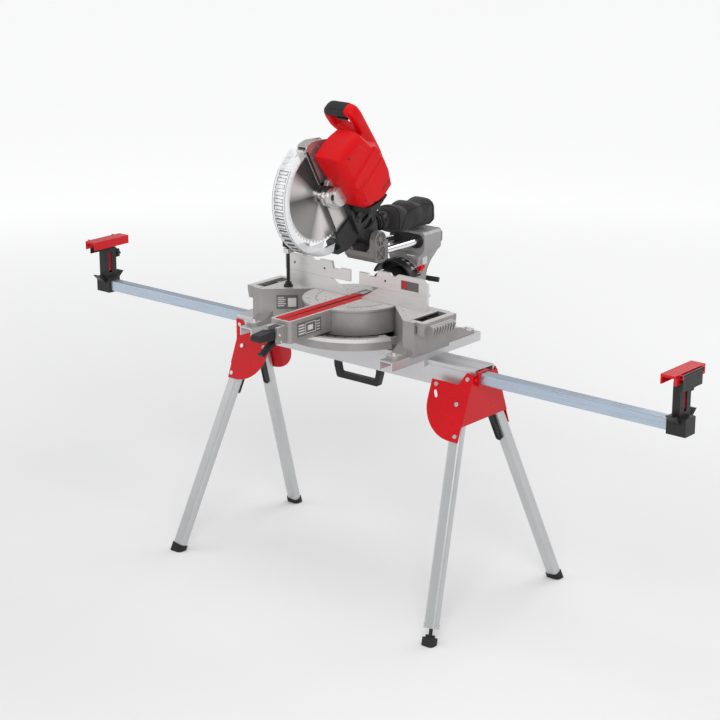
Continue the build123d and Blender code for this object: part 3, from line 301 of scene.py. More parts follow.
mats = {
    "red_sheet": paint("red_sheet", (0.62, 0.002, 0.008), (0.75, 0.10, 0.08), 0.30, 0.15, 300, 0.05,
                       patch=0.05, shine=0.2),
    "red_plastic": paint("red_plastic", (0.66, 0.0, 0.003), (0.74, 0.03, 0.03), 0.44, 0.0, 1500, 0.08,
                         edge=0.003, wear=0.4, patch=0.05, shine=0.2),
    "beam_silver": brushed("beam_silver", (0.66, 0.66, 0.67), (0.02, 1, 1), 0.42, 0.75, depth=0.05,
                           vary=0.06),
    "leg_silver": brushed("leg_silver", (0.62, 0.63, 0.63), (1, 1, 0.03), 0.38, 0.75, vary=0.08),
    "zinc": brushed("zinc", (0.50, 0.58, 0.68), (0.03, 1, 1), 0.30, 0.85, 300, 0.05, vary=0.10),
    "bolt_steel": brushed("bolt_steel", (0.70, 0.70, 0.70), (1, 1, 1), 0.3),
    "black_plastic": paint("black_plastic", (0.014, 0.014, 0.015), (0.09, 0.09, 0.09), 0.42, 0.0, 1400, 0.22,
                           patch=0.25),
    "rubber": paint("rubber", (0.018, 0.019, 0.020), (0.06, 0.06, 0.06), 0.62, 0.0, 900, 0.35, patch=0.25),
    "grey_casting": casting("grey_casting", (0.200, 0.190, 0.182), 0.44, 0.3),
    "tower_casting": casting("tower_casting", (0.36, 0.353, 0.348), 0.44, 0.3),
    "silver_casting": casting("silver_casting", (0.60, 0.585, 0.57), 0.32, 0.85, 260, 0.4),
    "turntable_silver": casting("turntable_silver", (0.34, 0.325, 0.315), 0.42, 0.4,
                                machined=(0.78, 0.76, 0.74)),
    "fence_silver": brushed("fence_silver", (0.76, 0.745, 0.735), (0.03, 1, 1), 0.40, 0.6, depth=0.04,
                            vary=0.07),
    "chrome": brushed("chrome", (0.88, 0.89, 0.90), (1, 0.02, 1), 0.12, depth=0.0, vary=0.03),
    "dark_steel": paint("dark_steel", (0.016, 0.015, 0.015), (0.20, 0.19, 0.18), 0.36, 0.0, 700, 0.2,
                        patch=0.25),
    "blade_steel": blade_metal(),
    "clear_guard": clear_plastic(),
    "guard_grey": paint("guard_grey", (0.10, 0.10, 0.10), (0.3, 0.3, 0.3), 0.4, edge=0.0003),
    "white_ink": paint("white_ink", (0.88, 0.88, 0.88), (0.9, 0.9, 0.9), 0.5, edge=0.0004, patch=0.03),
    "pale_plate": paint("pale_plate", (0.66, 0.65, 0.62), (0.75, 0.74, 0.72), 0.45, edge=0.0005, patch=0.04),
    "label_grey": paint("label_grey", (0.12, 0.115, 0.115), (0.25, 0.25, 0.25), 0.4, 0.3, edge=0.0005),
    "carbide": brushed("carbide", (0.90, 0.90, 0.90), (1, 1, 1), 0.45, 0.4, edge=0.0003, vary=0.05),
    "bag_piping": paint("bag_piping", (0.012, 0.011, 0.011), (0.05, 0.05, 0.05), 0.8, grain=2500, depth=0.4,
                        edge=0.0003),
    "black_casting": casting("black_casting", (0.022, 0.021, 0.021), 0.40, 0.2),
    "bag_cloth": cloth("bag_cloth", (0.016, 0.014, 0.014), (0.046, 0.041, 0.040)),
}
LOOKS = {"bevel_tower": "tower_casting", "left_table_extension": "turntable_silver",
         "right_table_extension": "turntable_silver"}
for part in frame["record"]["subparts"]:
    target = nodes[part["node"]]
    target.data.materials.clear()
    target.data.materials.append(mats[LOOKS.get(part["node"], part["material_slot"])])

# ------------------------------------------------------------------ pieces made here
class Piece:
    """Collects prisms and turned shapes, in millimetres in one frame, into a single mesh piece."""

    def __init__(self, name, body, material, matrix=SAW):
        self.name, self.body, self.material, self.matrix = name, body, material, matrix
        self.bm = bmesh.new()

    def prism(self, points, low, high, axis="z"):
        """A polygon drawn across the axis, in the order (y, z), (x, z) or (x, y)."""
        rings = []
        for level in (low, high):
            ring = []
            for a, b in points:
                place = {"x": (level, a, b), "y": (a, level, b), "z": (a, b, level)}[axis]
                ring.append(self.bm.verts.new(place))
            rings.append(ring)
        first, last = rings
        self.bm.faces.new(first)
        self.bm.faces.new(last)
        for i in range(len(points)):
            j = (i + 1) % len(points)
            self.bm.faces.new((first[i], first[j], last[j], last[i]))
        return self

    def box(self, x, y, z):
        return self.prism([(x[0], y[0]), (x[1], y[0]), (x[1], y[1]), (x[0], y[1])], z[0], z[1])

    def turned(self, profile, origin, direction, steps=28):
        """Revolves (distance along, radius) pairs round a line."""
        direction = Vector(direction).normalized()
        side = direction.orthogonal().normalized()
        other = direction.cross(side)
        rings = []
        for along, radius in profile:
            ring = []
            for k in range(steps):
                a = 2 * math.pi * k / steps
                out = (side * math.cos(a) + other * math.sin(a)) * radius
                ring.append(self.bm.verts.new(Vector(origin) + direction * along + out))
            rings.append(ring)
        self.bm.faces.new(rings[0])
        self.bm.faces.new(rings[-1])
        for one, two in zip(rings, rings[1:]):
            for i in range(steps):
                j = (i + 1) % steps
                self.bm.faces.new((one[i], one[j], two[j], two[i]))
        return self

    def arc(self, turn, radius, span, axis="z", steps=60):
        """Part of a flat ring about the axis. Turn, in degrees, radius and span each run from low to high."""
        turns = [math.radians(turn[0] + (turn[1] - turn[0]) * k / steps) for k in range(steps + 1)]
        points = [(radius[1] * math.cos(a), radius[1] * math.sin(a)) for a in turns]
        points += [(radius[0] * math.cos(a), radius[0] * math.sin(a)) for a in reversed(turns)]
        return self.prism(points, span[0], span[1], axis)

    def done(self, bevel=0.0, segments=2):
        """Makes the piece, with rounded edges, and puts it on its body."""
        bmesh.ops.recalc_face_normals(self.bm, faces=self.bm.faces)
        mesh = bpy.data.meshes.new(self.name)
        self.bm.to_mesh(mesh)
        self.bm.free()
        mesh.transform(self.matrix)
        piece = bpy.data.objects.new(self.name, mesh)
        bpy.context.scene.collection.objects.link(piece)
        mesh.materials.append(mats[self.material])
        if bevel:
            modifier = piece.modifiers.new("edges", "BEVEL")
            modifier.width, modifier.segments, modifier.limit_method = bevel * MM, segments, "ANGLE"
            modifier.angle_limit = math.radians(CREASE)
            modifier.harden_normals = True
        for face in mesh.polygons:
            face.use_smooth = True
        mesh.set_sharp_from_angle(angle=math.radians(CREASE))
        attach(piece, self.body)
        return piece


def spoke(degrees):
    """Directions out along a spoke and across it."""
    a = math.radians(degrees)
    return Vector((math.cos(a), math.sin(a))), Vector((-math.sin(a), math.cos(a)))


def screw(piece, spot, direction, radius, height):
    """Dome-headed screw with a socket."""
    profile = [(0, radius), (height * 0.55, radius), (height, radius * 0.72)]
    profile += [(height, radius * 0.42), (height * 0.3, radius * 0.38)]
    piece.turned(profile, spot, direction, 18)


def on_wall(piece, run, out, level):
    """A block on the left table's slanting wall: along it, out from it, and up."""
    start, end = Vector((-300, -120)), Vector((-178, -6))
    direction = (end - start).normalized()
    normal = Vector((direction.y, -direction.x))
    corners = [(run[0], out[0]), (run[1], out[0]), (run[1], out[1]), (run[0], out[1])]
    places = [start + direction * r + normal * o for r, o in corners]
    piece.prism(places, level[0], level[1])


# ---- mitre scale on the base's front ledge
LEDGE, LEDGE_R, FRONT = -80, 240, (-152, -28)
DETENTS = (-45, -31.6, -22.5, -15, 0, 15, 22.5, 31.6, 45)
scale = Piece("mitre_scale_ring", "stand", "pale_plate")
scale.arc(FRONT, (224, LEDGE_R), (LEDGE, LEDGE + 3.2))
scale.done(0.5)
rim = Piece("mitre_scale_rim", "stand", "fence_silver")
rim.arc((-159, -21), (LEDGE_R - 0.1, LEDGE_R + 0.7), (LEDGE - 9, LEDGE + 3))
rim.done()
plate = Piece("mitre_detent_plate", "stand", "grey_casting")
plate.arc(FRONT, (198, 223.5), (LEDGE, LEDGE + 1.6))
plate.done(0.3)
# painted shade: a dark disc under the turntable that fills the base's lightening holes, standing in for the
# shadowed recess
well_shade = Piece("base_well_painted_shade", "stand", "black_casting")
well_shade.arc((-180, 180), (50, 199), (-114, -112.8), steps=90)
well_shade.done()
ticks = Piece("mitre_scale_ticks", "stand", "dark_steel")
for step in range(-50, 51, 2):
    long = 13 if step % 10 == 0 else 7
    out, across = spoke(-90 + step)
    near, far, half = out * (LEDGE_R - 1 - long), out * (LEDGE_R - 1), across * 0.5
    ticks.prism([near - half, far - half, far + half, near + half], LEDGE + 3.1, LEDGE + 3.5)
for step in DETENTS:
    out = spoke(-90 + step)[0] * 205
    ticks.turned([(0, 4.2), (0.8, 4.2)], (out.x, out.y, LEDGE + 1.5), (0, 0, 1), 16)
ticks.done()

# ---- bevel scale's ticks, numbers and stops
DRUM_R = 90
marks = Piece("bevel_scale_ticks", "turntable", "white_ink")
for step in range(-60, 61, 3):
    deep = 15 if step % 15 == 0 else 9
    out, across = spoke(90 - step)
    near, far, half = out * (DRUM_R - 0.5), out * (DRUM_R + 0.4), across * 0.6
    marks.prism([near - half, far - half, far + half, near + half], 250 - deep, 249, "y")
marks.done()
for step in (-45, -30, -15, 0, 15, 30, 45):
    a = math.radians(step)
    number = bpy.data.curves.new(f"bevel_number_{step}", "FONT")
    number.body, number.size, number.align_x, number.align_y = str(abs(step)), 13 * MM, "CENTER", "CENTER"
    number.extrude = 0.15 * MM
    number_object = bpy.data.objects.new(number.name, number)
    bpy.context.scene.collection.objects.link(number_object)
    spot = SAW @ Vector(((DRUM_R + 0.3) * math.sin(a), 224, (DRUM_R + 0.3) * math.cos(a)))
    facing = Matrix(((math.cos(a), 0, math.sin(a)), (0, 1, 0), (-math.sin(a), 0, math.cos(a)))).to_4x4()
    number_object.matrix_world = Matrix.Translation(spot) @ facing
    number.materials.append(mats["white_ink"])
    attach(number_object, "turntable")
stops = Piece("bevel_stop_tabs", "tower", "red_plastic")
for a in (-52, 52):
    out, across = spoke(90 - a)
    near = out * (DRUM_R + 3)
    tip, peak = out * (DRUM_R + 20) - across * 3.6, out * (DRUM_R + 24) + across * 5.4
    stops.prism([near - across * 9, tip, peak, near + across * 9], 240, 262, "y")
stops.done(1.2)

# ---- wipers round the rails, and a plain plate on the tower
wiper = Piece("rail_wipers", "tower", "black_plastic")
outline = []
for k in range(48):
    t = 2 * math.pi * k / 48
    outline.append((46 * (1 if math.cos(t) >= 0 else -1) + 23 * math.cos(t), RAIL_Z + 23 * math.sin(t)))
wiper.prism(outline, 266, 276, "y")
for x in (-RAIL_X, RAIL_X):
    wiper.turned([(0, 19), (1.4, 19), (2.4, 16)], (x, 266, RAIL_Z), (0, -1, 0), 32)
wiper.done(1.2)
badge = Piece("tower_plate", "tower", "pale_plate")
badge.prism([(282, 62), (306, 66), (304, 92), (280, 88)], 58, 64, "x")
badge.done(0.8)

# ---- saw table: label plates, grooves and screws
plates = Piece("base_label_plate", "stand", "label_grey")
on_wall(plates, (46, 118), (-0.2, 1.2), (-70, -22))
plates.done(0.5)
lines = Piece("base_label_marks", "stand", "pale_plate")
for row in range(5):
    on_wall(lines, (50, 72 + 5 * (row % 2)), (1.1, 1.5), (-32 - 7 * row, -28.5 - 7 * row))
on_wall(lines, (84, 112), (1.1, 1.5), (-62, -32))
lines.done()

ARM_LABEL = (42.9, 43.4)
arm_plate = Piece("arm_label_plate", "turntable", "label_grey")
arm_plate.box((41.5, 43), (-330, -216), (-58, -12)).done(0.6)
arm_marks = Piece("arm_label_marks", "turntable", "pale_plate")
for row in range(4):
    arm_marks.box(ARM_LABEL, (-324, -296), (-24 - 9 * row, -20 - 9 * row))
    arm_marks.box(ARM_LABEL, (-238, -222), (-24 - 9 * row, -21 - 9 * row))
for y in (-292, -244):
    arm_marks.box(ARM_LABEL, (y, y + 2), (-52, -18))
for low in (-53, -20):
    arm_marks.box(ARM_LABEL, (-292, -242), (low, low + 2))
arm_marks.box(ARM_LABEL, (-280, -256), (-44, -28)).done()

groove = Piece("turntable_groove", "turntable", "dark_steel")
for first, last in ((-62, -4), (-176, -118)):
    groove.arc((first, last), (126, 128), (-0.4, 0.25), steps=40)
groove.done()
kerf_screws = Piece("kerf_screws", "turntable", "dark_steel")
for x in (-26, 26):
    for y in (-330, -190, -80, 8):
        screw(kerf_screws, (x, y, -1.3), (0, 0, 1), 2.4, 1.0)
kerf_screws.done()
pins = Piece("arm_pins", "turntable", "chrome")
for side in (-1, 1):
    pins.turned([(0, 5), (1.6, 5), (2.4, 3.5)], (side * 24, ARM_FRONT - 26, -38), (side, 0, 0), 20)
    pins.turned([(0, 3.6), (1.2, 3.6), (1.8, 2.6)], (side * 24, ARM_FRONT - 20, -62), (side, 0, 0), 20)
pins.done()

# ---- fence details
for side, word in ((-1, "left"), (1, "right")):
    trim = Piece(f"{word}_fence_screws", f"{word}_sliding_fence", "dark_steel")
    for x in (130, 262):
        trim.turned([(0, 3.9), (8.4, 3.9)], (side * x, 0.4, 76), (0, 1, 0), 20)
    trim.done()
    knob = Piece(f"{word}_fence_knob", f"{word}_sliding_fence", "black_plastic")
    star = []
    for k in range(36):
        t = 2 * math.pi * k / 36
        r = 15 + 2.2 * math.cos(6 * t)
        star.append((side * 240 + r * math.cos(t), 62 + r * math.sin(t)))
    knob.prism(star, 24, 38, "y")
    knob.done(1.5)
sticker = Piece("right_fence_label", "right_sliding_fence", "label_grey")
sticker.box((196, 268), (-0.4, 0.2), (60, 90)).done(0.1)
stripes = Piece("right_fence_stripes", "right_sliding_fence", "red_plastic")
for row in range(4):
    stripes.box((199, 222), (-0.7, -0.3), (64 + 6.5 * row, 68 + 6.5 * row))
stripes.done()

# ---- head: motor housing with faceted side, D-handle, gear case and battery dock
HOUSING = [(-144, 36), (-148, 84), (-143, 128), (-132, 168), (-60, 196), (-38, 216), (32, 214), (78, 206),
           (128, 184), (127, 116), (104, 60), (66, 36)]


def inset(points, distance):
    """Every corner moved towards the middle by the same distance."""
    middle = Vector((-6, 122))
    return [Vector(p) + (middle - Vector(p)).normalized() * distance for p in points]


shell = Piece("motor_housing_shell", "head", "red_plastic", HEAD)
rings = []
for x, step in ((31.2, 2), (33, 0), (98, 0), (110, 4), (120, 11), (127, 21), (131, 33)):
    rings.append([shell.bm.verts.new((x, q.x, q.y)) for q in inset(HOUSING, step)])
shell.bm.faces.new(rings[0])
shell.bm.faces.new(rings[-1])
for one, two in zip(rings, rings[1:]):
    for k in range(len(one)):
        n = (k + 1) % len(one)
        shell.bm.faces.new((one[k], one[n], two[n], two[k]))
shell.prism([(-34, 44), (-4, 42), (-22, 196), (-50, 188)], 108, 134.6, "x")
shell.prism([(12, 62), (62, 52), (98, 92), (108, 124), (104, 166), (52, 190), (2, 194)], 118, 133, "x")
shell.prism([(-118, 58), (-52, 52), (-64, 150), (-112, 134)], 118, 132.4, "x")
shell.done(3.5, 3)


HANDLE_LEVEL = 226.5


def signed_power(value, power):
    return math.copysign(abs(value) ** power, value)


def between(a, b, c, d, t):
    """A point from b to c on a smooth curve that also heeds a and d."""
    bend = 2 * a - 5 * b + 4 * c - d
    return 0.5 * (2 * b + (c - a) * t + bend * t * t + (3 * b - a - 3 * c + d) * t ** 3)


def tube_along(piece, path, wide, tall, steps=24):
    """Rounded bar swept along a curve through the points of path, in the handle's plane."""
    points = [Vector(p) for p in path]
    spine = []
    for k in range(len(points) - 1):
        near = points[max(0, k - 1)], points[k], points[k + 1], points[min(len(points) - 1, k + 2)]
        spine += [between(*near, t) for t in (0, 0.25, 0.5, 0.75)]
    spine.append(points[-1])
    loops = []
    for k, spot in enumerate(spine):
        run = (spine[min(k + 1, len(spine) - 1)] - spine[max(k - 1, 0)]).normalized()
        across = Vector((run.y, -run.x))
        ring = []
        for m in range(steps):
            t = 2 * math.pi * m / steps
            place = spot + across * wide * signed_power(math.cos(t), 0.7)
            level = HANDLE_LEVEL + tall * signed_power(math.sin(t), 0.7)
            ring.append(piece.bm.verts.new((place.x, place.y, level)))
        loops.append(ring)
    piece.bm.faces.new(loops[0])
    piece.bm.faces.new(loops[-1])
    for one, two in zip(loops, loops[1:]):
        for m in range(steps):
            n = (m + 1) % steps
            piece.bm.faces.new((one[m], one[n], two[n], two[m]))


handle = Piece("handle_loop", "head", "red_plastic", HEAD)
LOOP = [(-27, -104), (-29, -146), (-14, -161), (54, -161), (68, -146), (68, -100), (66, -20), (62, 40)]
tube_along(handle, LOOP, 16.5, 22)
tube_along(handle, [(-28, -124), (-24, -96), (6, -74), (44, -58), (64, -40)], 15, 21)
handle.prism([(34, -78), (82, -80), (84, 46), (70, 60), (38, 58), (30, -20)], 168, 214)
handle.prism([(38, -40), (80, -40), (80, 50), (40, 54)], 200, 238)
handle.done(4, 3)
grip = Piece("handle_rubber", "head", "rubber", HEAD)
tube_along(grip, [(-25, -154), (-14, -161.5), (10, -161.5), (34, -161.5), (50, -161)], 18, 23.6)
for k in range(5):
    grip.box((-6 + 10 * k, -1 + 10 * k), (-181, -168), (207, 212))
grip.done(1.5)
side_screws = Piece("housing_screws", "head", "dark_steel", HEAD)
for y, z, x in ((-112, 74, 132), (-42, 180, 133), (94, 84, 127), (58, 52, 124), (-92, 156, 125),
                (92, 168, 127)):
    screw(side_screws, (x, y, z), (1, 0, 0), 4.2, 1.4)
screw(side_screws, (83, 12, 226), (1, 0, 0), 4.0, 1.4)
side_screws.done()
slot = Piece("housing_slot", "head", "dark_steel", HEAD)
slot.prism([(84, 132), (88, 132), (88, 176), (84, 176)], 128, 133.5, "x").done(0.5)
dock = Piece("battery_dock", "head", "black_plastic", HEAD)
dock.prism([(100, 58), (122, 108), (130, 150), (136, 146), (137, 70), (120, 50)], 40, 116, "x")
for step in range(7):
    dock.box((45 + 10 * step, 49 + 10 * step), (132, 139), (66, 146))
dock.prism([(98, 60), (112, 56), (130, 84), (132, 120), (124, 118)], 112, 121, "x")
dock.done(1.5)
case = Piece("gear_case_body", "head", "silver_casting", HEAD)
case.prism([(-30, 2), (-46, 26), (-44, 40), (62, 40), (64, 16), (40, -14), (8, -27), (-20, -24)], 30, 46, "x")
HUB = [(30, 31), (38, 31), (39, 27), (47, 27), (48, 29), (52, 29), (53, 25), (57, 23), (58, 14)]
KNUCKLE = [(40, 33), (52, 33), (53, 35), (57, 35), (58, 31), (62, 31), (63, 33), (67, 33), (69, 26)]
case.turned(HUB, (0, 0, 0), (1, 0, 0), 40)
case.turned(KNUCKLE, (0, 18, 24), (1, 0, 0), 40)
for k in range(5):
    y, low = 24 + 8 * k, -14 + 5 * k
    case.prism([(y, low), (y + 3, low + 2), (y + 3, 38), (y, 38)], 44, 58 - 2 * k, "x")
case.done(1.2)
hub = Piece("blade_bolt_cover", "head", "dark_steel", HEAD)
hub.turned([(0, 11), (2, 11), (3, 8)], (58, 0, 0), (1, 0, 0), 6)
hub.prism([(-30, -6), (-26, 14), (-4, 20), (6, 30), (-8, 34), (-36, 18), (-40, 2)], 30, 50, "x")
hub.done(1)
strip = Piece("guard_edge_strip", "head", "black_plastic", HEAD)
strip.prism([(-166, 26), (-168, 32), (-30, 12), (-30, 4)], 19.4, 22.6, "x").done(0.8)
SLOT_STEP = 6.6
ribs = Piece("guard_ribs", "lower_guard", "guard_grey", HEAD)
for step in range(19):
    a = -158 + SLOT_STEP * step
    for edge in (a - 2.0, a + 1.7):
        ribs.arc((edge, edge + 0.3), (GUARD_R - 5, GUARD_R + 0.3), (-17, 17), "x", 1)
    for x in (-17.8, 17):
        ribs.arc((a - 2.0, a + 2.0), (GUARD_R - 2, GUARD_R + 0.3), (x, x + 0.8), "x", 1)
for x in (-26.2, 25.4):
    ribs.arc((-161, -30), (GUARD_R - 0.8, GUARD_R + 0.2), (x, x + 0.8), "x")
ribs.done()
cover = Piece("upper_guard_ribs", "head", "silver_casting", HEAD)
cover.arc((12, 176), (157, 163), (-21.2, -19), "x")
cover.arc((14, 182), (66, 71), (-21.2, -19), "x", 50)
for a in (28, 52, 76, 100, 124, 148):
    cover.arc((a, a + 2.2), (70, 158), (-20.8, -19), "x", 1)
cover.done(0.6)
cover_screws = Piece("upper_guard_screws", "head", "dark_steel", HEAD)
for a in (20, 88, 168):
    spot = (-19.4, 168.5 * math.cos(math.radians(a)), 168.5 * math.sin(math.radians(a)))
    screw(cover_screws, spot, (-1, 0, 0), 3.6, 1.5)
cover_screws.done()
truss = Piece("arm_truss", "head", "dark_steel", HEAD)


def bar_between(piece, a, b, wide, low, high):
    a, b = Vector(a), Vector(b)
    across = Vector((-(b - a).y, (b - a).x)).normalized() * wide / 2
    piece.prism([tuple(a - across), tuple(b - across), tuple(b + across), tuple(a + across)], low, high, "x")


EDGES = [[(92, 50), (196, 34), (250, 44)], [(90, 100), (126, 128), (214, 120), (270, 92)]]
WEB = [[(92, 52), (128, 126), (160, 42), (188, 120), (212, 38), (240, 104)]]
for run in EDGES + WEB:
    for a, b in zip(run, run[1:]):
        bar_between(truss, a, b, 5, 38, 41.5)
truss.done(0.8)

TEETH = 60
teeth = Piece("carbide_teeth", "blade", "carbide", HEAD)
for tooth in range(TEETH):
    out, across = spoke(360 * (tooth + 0.915) / TEETH)
    corners = ((145, -1.4), (152.3, -1.8), (151.9, 1.2), (145, 0.8))
    points = [out * far + across * side for far, side in corners]
    teeth.prism(points, -1.7, 1.7, "x")
teeth.done()
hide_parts("motor_housing")
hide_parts("handle_grip")
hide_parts("gear_case")

# ---- stand: bolts through the saw's feet
feet_bolts = Piece("saw_foot_bolts", "stand", "bolt_steel")
for x in (-300, 300):
    for y in (-163, 216):
        feet_bolts.turned([(0, 9), (1.6, 9), (1.6, 6.4), (6.4, 6.4), (7, 5.6)], (x, y, -102), (0, 0, 1), 6)
feet_bolts.done(0.3)


# ---- dust bag: a lofted shell, puffed by the cloth simulation, with seams laid on it afterwards
# each station is y, half width, low and high; the bag is squarer past its neck
NECK_END = 170
STATIONS = [(148, 25, 208, 250), (153, 28, 205, 255), (163, 39, 198, 266), (174, 45, 191, 272),
            (190, 47, 188, 274), (204, 47, 187, 270), (220, 47, 187, 263), (238, 47, 187, 272),
            (260, 47, 187, 277), (280, 47, 187, 272), (298, 47, 187, 264), (316, 47, 187, 268),
            (336, 47, 187, 275), (352, 46, 188, 272), (362, 42, 191, 262), (366, 34, 197, 250)]


def bag_shell():
    bm = bmesh.new()
    rings = []
    for y, half, low, high in STATIONS:
        middle, tall = (low + high) / 2, (high - low) / 2
        ring = []
        for k in range(40):
            t = 2 * math.pi * k / 40
            power = 0.52 if y > NECK_END else 0.85
            x = half * signed_power(math.cos(t), power)
            z = middle + tall * signed_power(math.sin(t), power)
            ring.append(bm.verts.new((x, y, z)))
        rings.append(ring)
    for one, two in zip(rings, rings[1:]):
        for i in range(40):
            j = (i + 1) % 40
            bm.faces.new((one[i], one[j], two[j], two[i]))
    bm.faces.new(rings[0])
    bm.faces.new(rings[-1])
    bmesh.ops.recalc_face_normals(bm, faces=bm.faces)
    mesh = bpy.data.meshes.new("dust_bag_cloth")
    bm.to_mesh(mesh)
    bm.free()
    mesh.transform(SAW)
    piece = bpy.data.objects.new("dust_bag_cloth", mesh)
    bpy.context.scene.collection.objects.link(piece)
    return piece


def apply_modifiers(piece):
    graph = bpy.context.evaluated_depsgraph_get()
    done = bpy.data.meshes.new_from_object(piece.evaluated_get(graph))
    piece.modifiers.clear()
    piece.data = done


MOST_PUFF = 0.008
bag = bag_shell()
remesh = bag.modifiers.new("remesh", "REMESH")
remesh.mode, remesh.voxel_size = "VOXEL", 0.005
apply_modifiers(bag)
before = [v.co.copy() for v in bag.data.vertices]
pinned = bag.vertex_groups.new(name="pinned")
collar = (SAW @ Vector((0, 156, 0))).y
pinned.add([v.index for v in bag.data.vertices if v.co.y < collar], 1.0, "REPLACE")
puff = bag.modifiers.new("puff", "CLOTH")
puff.settings.use_pressure = True
puff.settings.uniform_pressure_force = 4.0
puff.settings.effector_weights.gravity = 0
puff.settings.vertex_group_mass = "pinned"
puff.settings.tension_stiffness = 12
puff.settings.compression_stiffness = 6
puff.settings.bending_stiffness = 0.6
puff.settings.shrink_min = -0.04
puff.point_cache.frame_start, puff.point_cache.frame_end = 1, 20
for step in range(1, 21):
    bpy.context.scene.frame_set(step)
apply_modifiers(bag)
for vertex, start in zip(bag.data.vertices, before):
    moved = vertex.co - start
    if moved.length > MOST_PUFF:
        vertex.co = start + moved.normalized() * MOST_PUFF
bpy.context.scene.frame_set(1)
floor_of_bag = (SAW @ Vector((0, 0, 184.5))).z
for vertex in bag.data.vertices:
    vertex.co.z = max(vertex.co.z, floor_of_bag)
    crease = math.sin(vertex.co.y * 95 + 2.1 * math.sin(vertex.co.z * 40))
    crease *= math.sin(vertex.co.z * 55 + vertex.co.y * 30)
    vertex.co.x += 0.0010 * crease * (1 if vertex.co.x > 0 else -1)
bag.modifiers.new("smooth", "SUBSURF").render_levels = 1
bag.modifiers["smooth"].levels = 1
for face in bag.data.polygons:
    face.use_smooth = True
bag.data.materials.clear()
bag.data.materials.append(mats["bag_cloth"])
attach(bag, "carriage")
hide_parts("dust_bag")

graph = bpy.context.evaluated_depsgraph_get()
bag_now = bag.evaluated_get(graph)


def on_bag(start, direction):
    """Where a ray meets the bag, a little proud of it."""
    hit, spot, normal, _ = bag_now.ray_cast(SAW @ Vector(start), Vector(direction))
    return spot + normal * 0.0006 if hit else None


def seam_line(name, rays, radius=0.0011):
    points = [p for p in (on_bag(start, direction) for start, direction in rays) if p is not None]
    curve = bpy.data.curves.new(name, "CURVE")
    curve.dimensions, curve.bevel_depth, curve.bevel_resolution = "3D", radius, 2
    line = curve.splines.new("POLY")
    line.points.add(len(points) - 1)
    for control, point in zip(line.points, points):
        control.co = (*point, 1)
    piece = bpy.data.objects.new(name, curve)
    bpy.context.scene.collection.objects.link(piece)
    curve.materials.append(mats["bag_piping"])
    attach(piece, "carriage")
    return piece


for side, word in ((-1, "left"), (1, "right")):
    arc = []
    for k in range(41):
        t = math.pi * (1.0 - 0.5 * k / 40)
        arc.append(((side * 120, 262 + 74 * math.cos(t), 192 + 70 * math.sin(t)), (-side, 0, 0)))
    seam_line(f"bag_arc_seam_{word}", arc)
    back = [((side * 120, 262 + 2.4 * k, 262 + 2.0 * math.sin(k * 0.35)), (-side, 0, 0)) for k in range(41)]
    seam_line(f"bag_top_seam_{word}", back)
for y, name in ((176, "front"), (352, "rear")):
    loop = []
    for k in range(73):
        t = 2 * math.pi * k / 72
        loop.append(((120 * math.cos(t), y, 226 + 120 * math.sin(t)), (-math.cos(t), 0, -math.sin(t))))
    seam_line(f"bag_{name}_seam", loop)
clip = Piece("chute_clip", "carriage", "black_plastic")
clip.turned([(0, 27), (4, 31), (22, 31), (26, 27)], (0, 118, 232), (0, 1, 0), 36)
for k in range(4):
    t = math.radians(20 + 45 * k)
    place = (31 * math.cos(t), 131, 232 + 31 * math.sin(t))
    clip.turned([(0, 7), (4, 6)], place, (math.cos(t), 0, math.sin(t)), 14)
clip.done(0.8)
band = Piece("bag_collar_band", "carriage", "black_plastic")
band.turned([(0, 28.5), (1, 30), (8, 30), (9, 28.5)], (0, 144, 232), (0, 1, 0), 40)
band.done()

# ------------------------------------------------------------------ floor, light, camera
floor = bpy.data.meshes.new("floor")
floor.from_pydata([(-60, -60, 0), (60, -60, 0), (60, 60, 0), (-60, 60, 0)], [], [(0, 1, 2, 3)])
floor_object = bpy.data.objects.new("floor", floor)
bpy.context.scene.collection.objects.link(floor_object)
pale = Nodes("pale_floor")
pale.set(Base_Color=pale.mix(pale.noise(0.6, 3), (0.93, 0.93, 0.93), (0.95, 0.95, 0.95)), Roughness=0.8)
reach = pale.add("ShaderNodeVectorMath", operation="LENGTH")
pale.link(pale.position, reach.inputs[0])
far_glow = pale.ramp(reach.outputs["Value"], 1.6, 6.0, 0.0, 0.42)
pale.set(Emission_Color=(1.0, 1.0, 1.0), Emission_Strength=far_glow)
floor.materials.append(pale.mat)

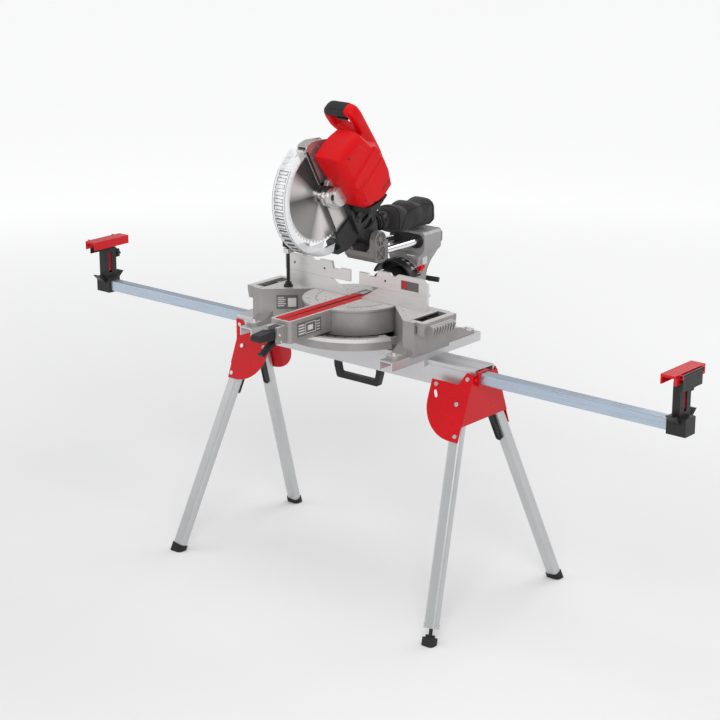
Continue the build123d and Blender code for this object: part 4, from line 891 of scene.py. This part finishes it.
world = bpy.data.worlds.new("studio")
bpy.context.scene.world = world
world.use_nodes = True
sky = world.node_tree
sky.nodes.clear()
seen, lit = sky.nodes.new("ShaderNodeBackground"), sky.nodes.new("ShaderNodeBackground")
seen.inputs[0].default_value, seen.inputs[1].default_value = (1, 1, 1, 1), 0.96
lit.inputs[0].default_value, lit.inputs[1].default_value = (0.98, 0.985, 1.0, 1), 0.56
choose, path = sky.nodes.new("ShaderNodeMixShader"), sky.nodes.new("ShaderNodeLightPath")
sky.links.new(path.outputs["Is Camera Ray"], choose.inputs[0])
sky.links.new(lit.outputs[0], choose.inputs[1])
sky.links.new(seen.outputs[0], choose.inputs[2])
sky.links.new(choose.outputs[0], sky.nodes.new("ShaderNodeOutputWorld").inputs[0])


def area_light(name, place, aim, size, power):
    lamp = bpy.data.lights.new(name, "AREA")
    lamp.shape, lamp.size, lamp.size_y, lamp.energy = "RECTANGLE", size[0], size[1], power
    lamp_object = bpy.data.objects.new(name, lamp)
    bpy.context.scene.collection.objects.link(lamp_object)
    lamp_object.location = place
    lamp_object.rotation_euler = (Vector(aim) - Vector(place)).to_track_quat("-Z", "Y").to_euler()


area_light("key", (2.6, -3.0, 3.6), (0, 0, 0.9), (2.0, 2.0), 72)
area_light("fill", (-3.6, -2.2, 2.4), (0, 0, 0.9), (2.4, 2.4), 16)
area_light("back", (0.5, 3.6, 3.2), (0, 0, 0.9), (3.0, 1.2), 34)
area_light("top", (0, 0, 4.4), (0, 0, 0), (3.0, 1.6), 22)

AZIMUTH, ELEVATION = math.radians(40), math.radians(17)
aim = Vector((0.06, 0, 0.765))
distance = 6.3
camera = bpy.data.cameras.new("camera")
camera.lens, camera.sensor_width = 96, 36
camera_object = bpy.data.objects.new("camera", camera)
bpy.context.scene.collection.objects.link(camera_object)
level = Vector((math.sin(AZIMUTH), -math.cos(AZIMUTH), 0))
away = level * math.cos(ELEVATION) + Vector((0, 0, math.sin(ELEVATION)))
camera_object.location = aim + away * distance
camera_object.rotation_euler = (-away).to_track_quat("-Z", "Y").to_euler()
bpy.context.scene.camera = camera_object

bpy.context.scene.view_settings.view_transform = "Standard"
